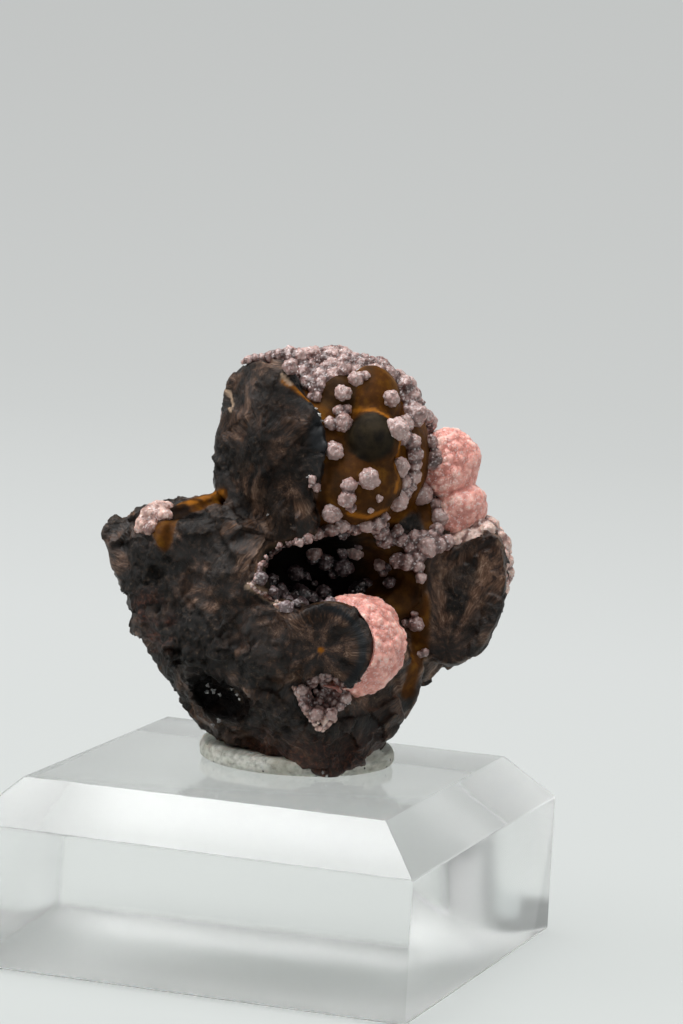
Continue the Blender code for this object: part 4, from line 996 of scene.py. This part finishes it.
def crustBeads(count, radii, rises, seed):
    # Spread evenly over the dome, but for the window, the broken left side and the open columns
    centre, size = goethite["dome"]
    dice = random.Random(seed)
    wander = crust["wander"] * math.sqrt(4.0 * math.pi / count)
    found = []
    for height, ring, turn in spiral(count):
        angle = turn + dice.uniform(-wander, wander) / max(ring, 0.3)
        height += dice.uniform(-wander, wander)
        direction = Vector((ring * math.cos(angle), ring * math.sin(angle), height))
        direction.normalize()
        radius = dice.uniform(*radii)
        rise = dice.uniform(*rises)
        spot = Vector(centre) + Vector([part * (half + rise) for part, half in zip(direction, size)])
        lowered = spot + Vector((0.0, 0.0, crust["ragged"] * dice.random()))
        if isBeyond(lowered, crust["lowerEdge"]) or isBeyond(spot, crust["leftEdge"]):
            continue
        inWindow = sum(((part - middle) / half) ** 2
                       for part, middle, half in zip(spot, crust["windowCentre"], crust["windowRadii"]))
        across, down = inPixels(spot)
        isBare = any(left < across < right and top < down < bottom
                     for left, right, top, bottom in crust["bare"])
        if inWindow < 1.0 or (spot[1] < centre[1] and isBare):
            continue
        found.append((spot, radius))
    return found


def growDomeCrust():
    # In two pieces, because its front is finer than its back
    spheres = crustBeads(crust["count"], crust["radii"], crust["rise"], 11)
    spheres += crustBeads(crust["fillers"], crust["fillerRadii"], crust["fillerRise"], 12)
    reach = stone["viewDistance"] + crust["edgeDepth"]
    for across, down, radius in crust["edgeBeads"]:
        spot = sightLine(across, down) * reach - Vector((0.0, stone["viewDistance"], 0.0))
        spheres.append((spot, radius * reach / stone["pixelsAcross"]))
    spheres += seenBeads(stoneSurface, beads["columns"] + beads["crestFront"], growth=1.32)
    inFront = [item for item in spheres if item[0][1] < crust["frontEnd"]]
    behind = [item for item in spheres if item[0][1] >= crust["frontEnd"]]
    for name, grain, part in (("domeCrust", beads["grain"], inFront),
                              ("domeCrustBack", crust["backGrain"], behind)):
        finishPiece(growBeads(name, part, grain, knobs=4), "dome_crust",
                    finishes["lilac"])


# The stone itself, which everything after it grows on

goethiteStone, ochreRidge = growGoethite()
dressGoethite(goethiteStone, ochreRidge)
stage("goethite dressed")
stoneSurface = surfaceOf(goethiteStone)

windowSpheres = seenBeads(stoneSurface, beads["window"] + beads["onWall"])
finishPiece(growBeads("windowBeads", windowSpheres, beads["grain"]), "goethite_matrix",
            finishes["lilac"])
growDomeCrust()


# The pink balls: sugar-coated raspberries

pinkBalls = {
    "front": ((4.85, -7.2, -8.95), 5.4),
    "side": (
        ((15.2, 4.0, 11.0), 3.4), ((15.0, 3.9, 9.8), 3.3), ((16.5, 3.6, 5.8), 2.8), ((15.8, 3.8, 5.0), 2.6)),
    # The patch on the shoulder, in the photograph's pixels: across, down, radius
    "shoulder": ((142, 529, 5), (147, 523, 8), (153, 516, 9), (160, 510, 8), (167, 508, 6), (159, 519, 9),
                 (151, 527, 6), (166, 516, 6)),
    "grain": 0.15, "bumpWidths": (1.3, 0.65), "bumpHeights": (0.18, 0.09), "sugarWidth": 0.34, "sugar": 0.05,
}


def behindNodule():
    # The nodule and what stands in front of its broken face, which the front ball stays behind
    centre, radius, (onFace, direction) = goethite["nodule"]
    plug = bmesh.new()
    bmesh.ops.create_cone(plug, cap_ends=True, segments=64, radius1=radius - 0.1, radius2=radius + 1.2,
                          depth=6.0)
    aim = Vector(direction).to_track_quat("Z", "Y").to_matrix().to_4x4()
    lifted = Matrix.Translation(Vector(onFace) + Vector(direction).normalized() * 2.6)
    bmesh.ops.transform(plug, matrix=lifted @ aim, verts=plug.verts)
    return [ball(centre, radius, 5), plug]


def growPinkBalls(name, spheres, nodeName, material, bumps=1.0, hollows=()):
    thing = makeObject(name, joinShells([ball(centre, radius, 5) for centre, radius in spheres]))
    remesh(thing, pinkBalls["grain"])
    spots = points(thing)
    large, small = (1.0 - (1.7 * grains(spots, width)) ** 2 for width in pinkBalls["bumpWidths"])
    sugar = 0.5 - grains(spots, pinkBalls["sugarWidth"])
    heights = pinkBalls["bumpHeights"][0] * large + pinkBalls["bumpHeights"][1] * small
    moveOut(thing, bumps * heights + 0.3 * waves(spots, 2.6, 4.0) + pinkBalls["sugar"] * 2.0 * sugar)
    # Painted shade: the height is low between the bumps, where the material darkens the colour
    keepAttribute(thing, "height", "FLOAT", np.clip(0.15 + 0.45 * large + 0.35 * small, 0.0, 1.0))
    keepAttribute(thing, "tint", "FLOAT", 0.5 + waves(spots, 3.0, 2.0))
    if hollows:
        cutAway(thing, hollows)
    finishPiece(thing, nodeName, material)


growPinkBalls("frontBall", [pinkBalls["front"]], "front_ball", finishes["pink"], hollows=behindNodule())
growPinkBalls("sideBalls", pinkBalls["side"], "side_balls", finishes["pink"], 0.75)
growPinkBalls("shoulderPatch", seenBeads(stoneSurface, pinkBalls["shoulder"], 0.5, 1.35), "shoulder_patch",
              finishes["pale"], 0.5)


# The pale crust on the wing's back, and the linings of the cavity and of the vug

linings = {
    "wing": ((17.3, 4.6, -0.6), (4.9, 4.4, 6.2)), "wingEdge": ((17.0, 0.9, -4.0), (-0.22, -0.97, 0.08)),
    "wingBeads": 120,
    # Beads seen in the cavity, in the photograph's pixels, and how many more on its floor and back
    "cavity": (
        (295, 573, 7), (325, 562, 7), (313, 560, 5), (343, 568, 8), (333, 574, 5), (279, 592, 8),
        (270, 582, 7), (262, 577, 6), (301, 594, 8), (311, 598, 6), (323, 593, 7), (287, 606, 6),
        (296, 604, 5), (343, 534, 5), (355, 590, 6), (366, 584, 5), (306, 577, 4)),
    "floorBeads": 90,
    "vug": ((1.6, -11.0, -14.2), (2.7, 3.6, 2.4)), "vugBeads": 110,
    "vugEdge": ((0.0, -10.0, 0.0), (0.0, -1.0, 0.0)),
    # Druses along the broken rims: their path and mean radius in pixels, and their finish
    "rims": {
        "cavityRim": (
            ((256, 580), (262, 566), (272, 553), (280, 545), (292, 542), (304, 539), (318, 534)),
            2.6, "lilac"),
        "paleRim": (((250, 584), (258, 590), (268, 595), (277, 602), (285, 608)), 2.4, "pale"),
        "vugRim": (((296, 688), (302, 700), (310, 713), (321, 728), (329, 722), (335, 717)), 3.0, "pale"),
        "vugWall": (((301, 688), (306, 697), (314, 709), (323, 719)), 5.0, "pale"),
    },
    "rimStray": 2.2, "rimGrain": 0.13,
}


def spreadOver(centre, radii, count, seed):
    # Places spread over an ellipsoid, each with a chance of its own
    dice = random.Random(seed)
    for height, ring, turn in spiral(count):
        angle = turn + dice.uniform(-0.2, 0.2)
        direction = Vector((ring * math.cos(angle), ring * math.sin(angle), height))
        yield Vector(centre) + Vector([part * half for part, half in zip(direction, radii)]), dice.random()


def growWingCrust():
    centre, radii = linings["wing"]
    spheres = []
    for spot, chance in spreadOver(centre, tuple(size - 0.7 for size in radii), linings["wingBeads"], 5):
        radius = 0.7 + 0.4 * chance
        if not isBeyond(spot + radius * Vector(linings["wingEdge"][1]), linings["wingEdge"]):
            spheres.append((spot, radius))
    shells = [ball(centre, tuple(size - 0.6 for size in radii), 5, breaks=(linings["wingEdge"],))]
    shells += [ball(spot, radius, 2) for spot, radius in spheres]
    thing = makeObject("wingCrust", joinShells(shells))
    remesh(thing, beads["grain"])
    dressDruze(thing, spheres, 0.10, 0.5)
    finishPiece(thing, "wing_crust", finishes["pale"])


def growCavityLining():
    centre, radii = goethite["cavity"][:2]
    spheres = seenBeads(stoneSurface, linings["cavity"], growth=1.35)
    dice = random.Random(3)
    for spot, chance in spreadOver(centre, radii, linings["floorBeads"], 8):
        onFloor = spot[2] < centre[2] - 1.0 and -5.5 < spot[0] < 6.0 and spot[1] > -9.0
        onBack = spot[1] > centre[1] + 3.0 and chance > 0.9
        if onFloor or onBack:
            spheres.append((spot, 0.45 + 0.6 * dice.random()))
    thing = growBeads("cavityLining", spheres, beads["grain"])
    finishPiece(thing, "cavity_lining", finishes["plum"])


def growVugLining():
    centre, radii = linings["vug"]
    dice = random.Random(13)
    spheres = [(spot, dice.uniform(0.35, 0.8))
               for spot, _ in spreadOver(centre, radii, linings["vugBeads"], 4)
               if not isBeyond(spot, linings["vugEdge"])]
    thing = growBeads("vugLining", spheres, 0.15, 0.12, 0.4, 2)
    finishPiece(thing, "vug_lining", finishes["lilac"])


def growRims():
    # Thin druses along the broken rims of the cavity and of the vug
    dice = random.Random(21)
    stray = linings["rimStray"]
    for name, (path, size, finish) in linings["rims"].items():
        seen = [(across + dice.uniform(-stray, stray), down + dice.uniform(-stray, stray),
                 size * dice.uniform(0.5, 1.3)) for across, down in alongPath(path, 1.3)]
        thing = growBeads(name, seenBeads(stoneSurface, seen, 0.45), linings["rimGrain"], 0.06, 0.3, 1)
        finishPiece(thing, "goethite_matrix", finishes[finish])


tufts = {
    # Small grey-white crystals: across, down, radius in pixels
    "places": (
        (313, 484, 3.5), (319, 489, 3.5), (309, 476, 3), (316, 408, 3), (320, 414, 3),
        (294, 368, 3.5), (299, 372, 3), (291, 372, 2.5), (322, 420, 2.5), (209, 684, 4), (214, 690, 4.5),
        (207, 692, 3), (220, 694, 3), (219, 720, 3.5), (213, 724, 3), (349, 700, 5), (344, 704, 3.5),
        (268, 514, 2), (232, 688, 2.5), (238, 693, 3), (240, 699, 2.5), (323, 772, 2.5), (327, 775, 2)),
    # Crystals in each, and their widths, length and height above its middle as shares of its radius
    "crystals": 11, "base": 0.34, "tip": 0.12, "length": 0.9, "lift": 0.3,
}


def growTufts():
    # Stubby crystals pointing every way
    dice = random.Random(31)
    shells = []
    for centre, radius in seenBeads(stoneSurface, tufts["places"], 0.4):
        for _ in range(tufts["crystals"]):
            away = anyWay(dice).normalized()
            shell = bmesh.new()
            bmesh.ops.create_cone(shell, cap_ends=True, segments=6, radius1=tufts["base"] * radius,
                                  radius2=tufts["tip"] * radius, depth=tufts["length"] * radius)
            aim = away.to_track_quat("Z", "Y").to_matrix().to_4x4()
            spot = Matrix.Translation(centre + away * tufts["lift"] * radius) @ aim
            bmesh.ops.transform(shell, matrix=spot, verts=shell.verts)
            shells.append(shell)
    thing = makeObject("crystalTufts", joinShells(shells))
    spots = points(thing)
    keepAttribute(thing, "height", "FLOAT", 0.5 + 0.8 * waves(spots, 0.5))
    keepAttribute(thing, "tint", "FLOAT", 0.5 + waves(spots, 1.5))
    finishPiece(thing, "goethite_matrix", finishes["frostAndGlint"])
    thing.data.set_sharp_from_angle(angle=math.radians(30.0))


growWingCrust()
growTufts()
growCavityLining()
growVugLining()
growRims()
finishPiece(goethiteStone, "goethite_matrix", finishes["goethite"])


# The putty pad and the block

putty = {"centre": (1.3, 4.5), "radius": 10.8, "bottom": 20.15, "top": 22.0, "edge": 0.6,
         "lump": ((9.0, 2.6, 21.6), (2.2, 4.2, 1.9)), "grain": 0.3,
         # Its dents, its smears and its finer unevenness: width and height
         "dents": (3.0, 0.22), "smears": (0.9, 0.10), "fine": (0.6, 0.05)}
block = {"side": 49.998, "height": 20.0, "bevel": 4.8, "edge": 0.18}


def bevelEdges(mesh, edges, offset, segments):
    bmesh.ops.bevel(mesh, geom=edges, offset=offset, segments=segments, profile=0.5, affect="EDGES",
                    material=-1)


def pressPutty():
    mesh = bmesh.new()
    radius = putty["radius"] - 0.1
    bmesh.ops.create_cone(mesh, cap_ends=True, segments=96, radius1=radius, radius2=radius,
                          depth=putty["top"] - putty["bottom"])
    middle = 0.5 * (putty["top"] + putty["bottom"])
    bmesh.ops.translate(mesh, verts=mesh.verts, vec=(*putty["centre"], middle))
    rims = [edge for edge in mesh.edges if abs(edge.verts[0].co.z - edge.verts[1].co.z) < 0.1]
    bevelEdges(mesh, rims, putty["edge"], 4)
    lump = ball(*putty["lump"], detail=5)
    for vert in lump.verts:
        vert.co.z = max(vert.co.z, putty["bottom"])
    thing = makeObject("puttyPad", joinShells([mesh, lump]))
    remesh(thing, putty["grain"])
    spots = points(thing)
    smear = spots * np.array((1.0, 0.3, 1.0))
    heights = sum(height * waves(where, width) for where, (width, height) in
                  ((spots, putty["dents"]), (smear, putty["smears"]), (spots, putty["fine"])))
    heights *= smoothStep(putty["bottom"] + 0.05, putty["bottom"] + 0.5, spots[:, 2])
    moveOut(thing, heights - 0.05)
    thing.data.transform(fromBlock)
    finishPiece(thing, "putty_pad", finishes["putty"])


def polishBlock():
    mesh = bmesh.new()
    bmesh.ops.create_cube(mesh, size=1.0)
    bmesh.ops.scale(mesh, vec=(block["side"], block["side"], block["height"]), verts=mesh.verts)
    bmesh.ops.translate(mesh, vec=(0.0, 0.0, 0.5 * block["height"]), verts=mesh.verts)
    top = [edge for edge in mesh.edges if all(vert.co.z > 0.5 * block["height"] for vert in edge.verts)]
    bevelEdges(mesh, top, block["bevel"], 1)
    bevelEdges(mesh, mesh.edges[:], block["edge"], 3)
    thing = makeObject("acrylicBlock", mesh)
    thing.data.transform(fromBlock)
    finishPiece(thing, "acrylic_block", finishes["acrylic"])
    thing.data.set_sharp_from_angle(angle=math.radians(20.0))


pressPutty()
polishBlock()


# Floor, light and camera

studio = {
    "sweepWidth": 4.4, "floorFront": -2.4, "lip": 0.3, "floorBack": 0.45, "bend": 0.45, "wallTop": 1.8,
    "sink": 0.0003, "glow": 0.8,
    # Its tones along the sweep, metres from the lip at its front: painted light, darker where the light falls
    # off
    "tones": ((2.37, "#c4cbca"), (2.85, "#d2d6d4"), (3.07, "#d4d7d6"), (3.57, "#c6c8c7"), (4.07, "#b9bdbb"),
              (4.87, "#a8b0ad")),
    # Where each softbox hangs, what it is turned to, its size in metres and its watts
    "softboxes": {
        "softboxTop": ((-0.10, -0.10, 0.75), (0.0, 0.0, 0.04), 0.7, 9.0),
        "softboxLeft": ((-0.70, -0.45, 0.45), (0.0, 0.0, 0.05), 0.6, 3.0),
        "softboxRight": ((0.85, -0.30, 0.50), (0.0, 0.0, 0.05), 0.9, 1.5),
    },
    # The light all round, from the front to the back
    "around": ((0.0, "#222324"), (0.25, "#2e3031"), (0.48, "#b3b7b7"), (1.0, "#d5d8d8")), "strength": 0.6,
    "cameraAt": (160.35, -441.66, 112.88), "target": (6.55, 0.0, 48.4), "roll": 3.03, "lens": 155.04,
}


def buildStage():
    # A paper sweep: a low lip at its front, then the floor, which bends up and becomes the wall
    bend, lip = studio["bend"], studio["lip"]
    line = [(studio["floorFront"] - lip * math.sin(turn), lip * (1.0 - math.cos(turn)))
            for turn in (math.radians(90.0 - 15.0 * step) for step in range(6))]
    line += [(studio["floorFront"], 0.0), (studio["floorBack"], 0.0)]
    line += [(studio["floorBack"] + bend * math.sin(turn), bend * (1.0 - math.cos(turn)))
             for turn in (math.radians(7.5 * step) for step in range(1, 13))]
    line.append((studio["floorBack"] + bend, studio["wallTop"]))
    lengths = [0.0]
    for (y1, z1), (y2, z2) in zip(line, line[1:]):
        lengths.append(lengths[-1] + math.hypot(y2 - y1, z2 - z1))
    mesh = bmesh.new()
    runs = [[mesh.verts.new((side * studio["sweepWidth"] / 2, y, z - studio["sink"])) for y, z in line]
            for side in (-1, 1)]
    for row in runs:
        for first, second in zip(row, row[1:]):
            mesh.edges.new((first, second))
    bmesh.ops.bridge_loops(mesh, edges=mesh.edges[:])
    bmesh.ops.recalc_face_normals(mesh, faces=mesh.faces[:])
    sweep = makeObject("studioSweep", mesh)
    sweep.data.shade_smooth()
    along = []
    for vert in sweep.data.vertices:
        gaps = [abs(y - vert.co.y) + abs(z - vert.co.z) for y, z in line]
        along.append(lengths[gaps.index(min(gaps))])
    keepAttribute(sweep, "along", "FLOAT", along)
    material, tree, shader = newMaterial("paperSweepGlowing")
    total = lengths[-1]
    tone = ramp(tree, span(tree, attributeOf(tree, "along").outputs["Fac"], 0.0, total),
                [(place / total, tone) for place, tone in studio["tones"]])
    # Painted light: the sweep glows as well as being lit, so it stays bright where shade would fall, as under
    # the block
    setInputs(tree, shader, {
        "Base Color": mixColour(tree, studio["glow"], tone, (0.0, 0.0, 0.0, 1.0)), "Emission Color": tone,
        "Emission Strength": studio["glow"], "Roughness": 1.0, "Specular IOR Level": 0.0})
    sweep.data.materials.append(material)


def addLight(name, spot, aim, size, watts):
    data = bpy.data.lights.new(name, "AREA")
    data.energy = watts
    data.size = size
    lamp = bpy.data.objects.new(name, data)
    lamp.location = spot
    lamp.rotation_euler = (Vector(aim) - Vector(spot)).to_track_quat("-Z", "Y").to_euler()
    bpy.context.scene.collection.objects.link(lamp)


def addCamera():
    data = bpy.data.cameras.new("camera")
    data.lens = studio["lens"]
    data.sensor_width = 36.0
    data.clip_start = 0.01
    camera = bpy.data.objects.new("camera", data)
    spot = Vector(studio["cameraAt"]) * mm
    sight = (Vector(studio["target"]) * mm - spot).to_track_quat("-Z", "Y")
    camera.matrix_world = (Matrix.Translation(spot) @ sight.to_matrix().to_4x4()
                           @ Matrix.Rotation(math.radians(studio["roll"]), 4, "Z"))
    bpy.context.scene.collection.objects.link(camera)
    bpy.context.scene.camera = camera


def lightWorld():
    world = bpy.data.worlds.new("studio")
    world.use_nodes = True
    tree = world.node_tree
    background = tree.nodes["Background"]
    direction = addNode(tree, "ShaderNodeTexCoord").outputs["Generated"]
    # Dark at the front, so that the stone keeps its blacks, and pale at the sides and behind
    depth = addNode(tree, "ShaderNodeSeparateXYZ", {"Vector": direction}).outputs["Y"]
    setInputs(tree, background, {"Color": ramp(tree, span(tree, depth, -1.0, 1.0), studio["around"]),
                                 "Strength": studio["strength"]})
    bpy.context.scene.world = world


buildStage()
lightWorld()
for lightName, values in studio["softboxes"].items():
    addLight(lightName, *values)
addCamera()
bpy.context.scene.view_settings.view_transform = "Standard"

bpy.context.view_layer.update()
stage("done")
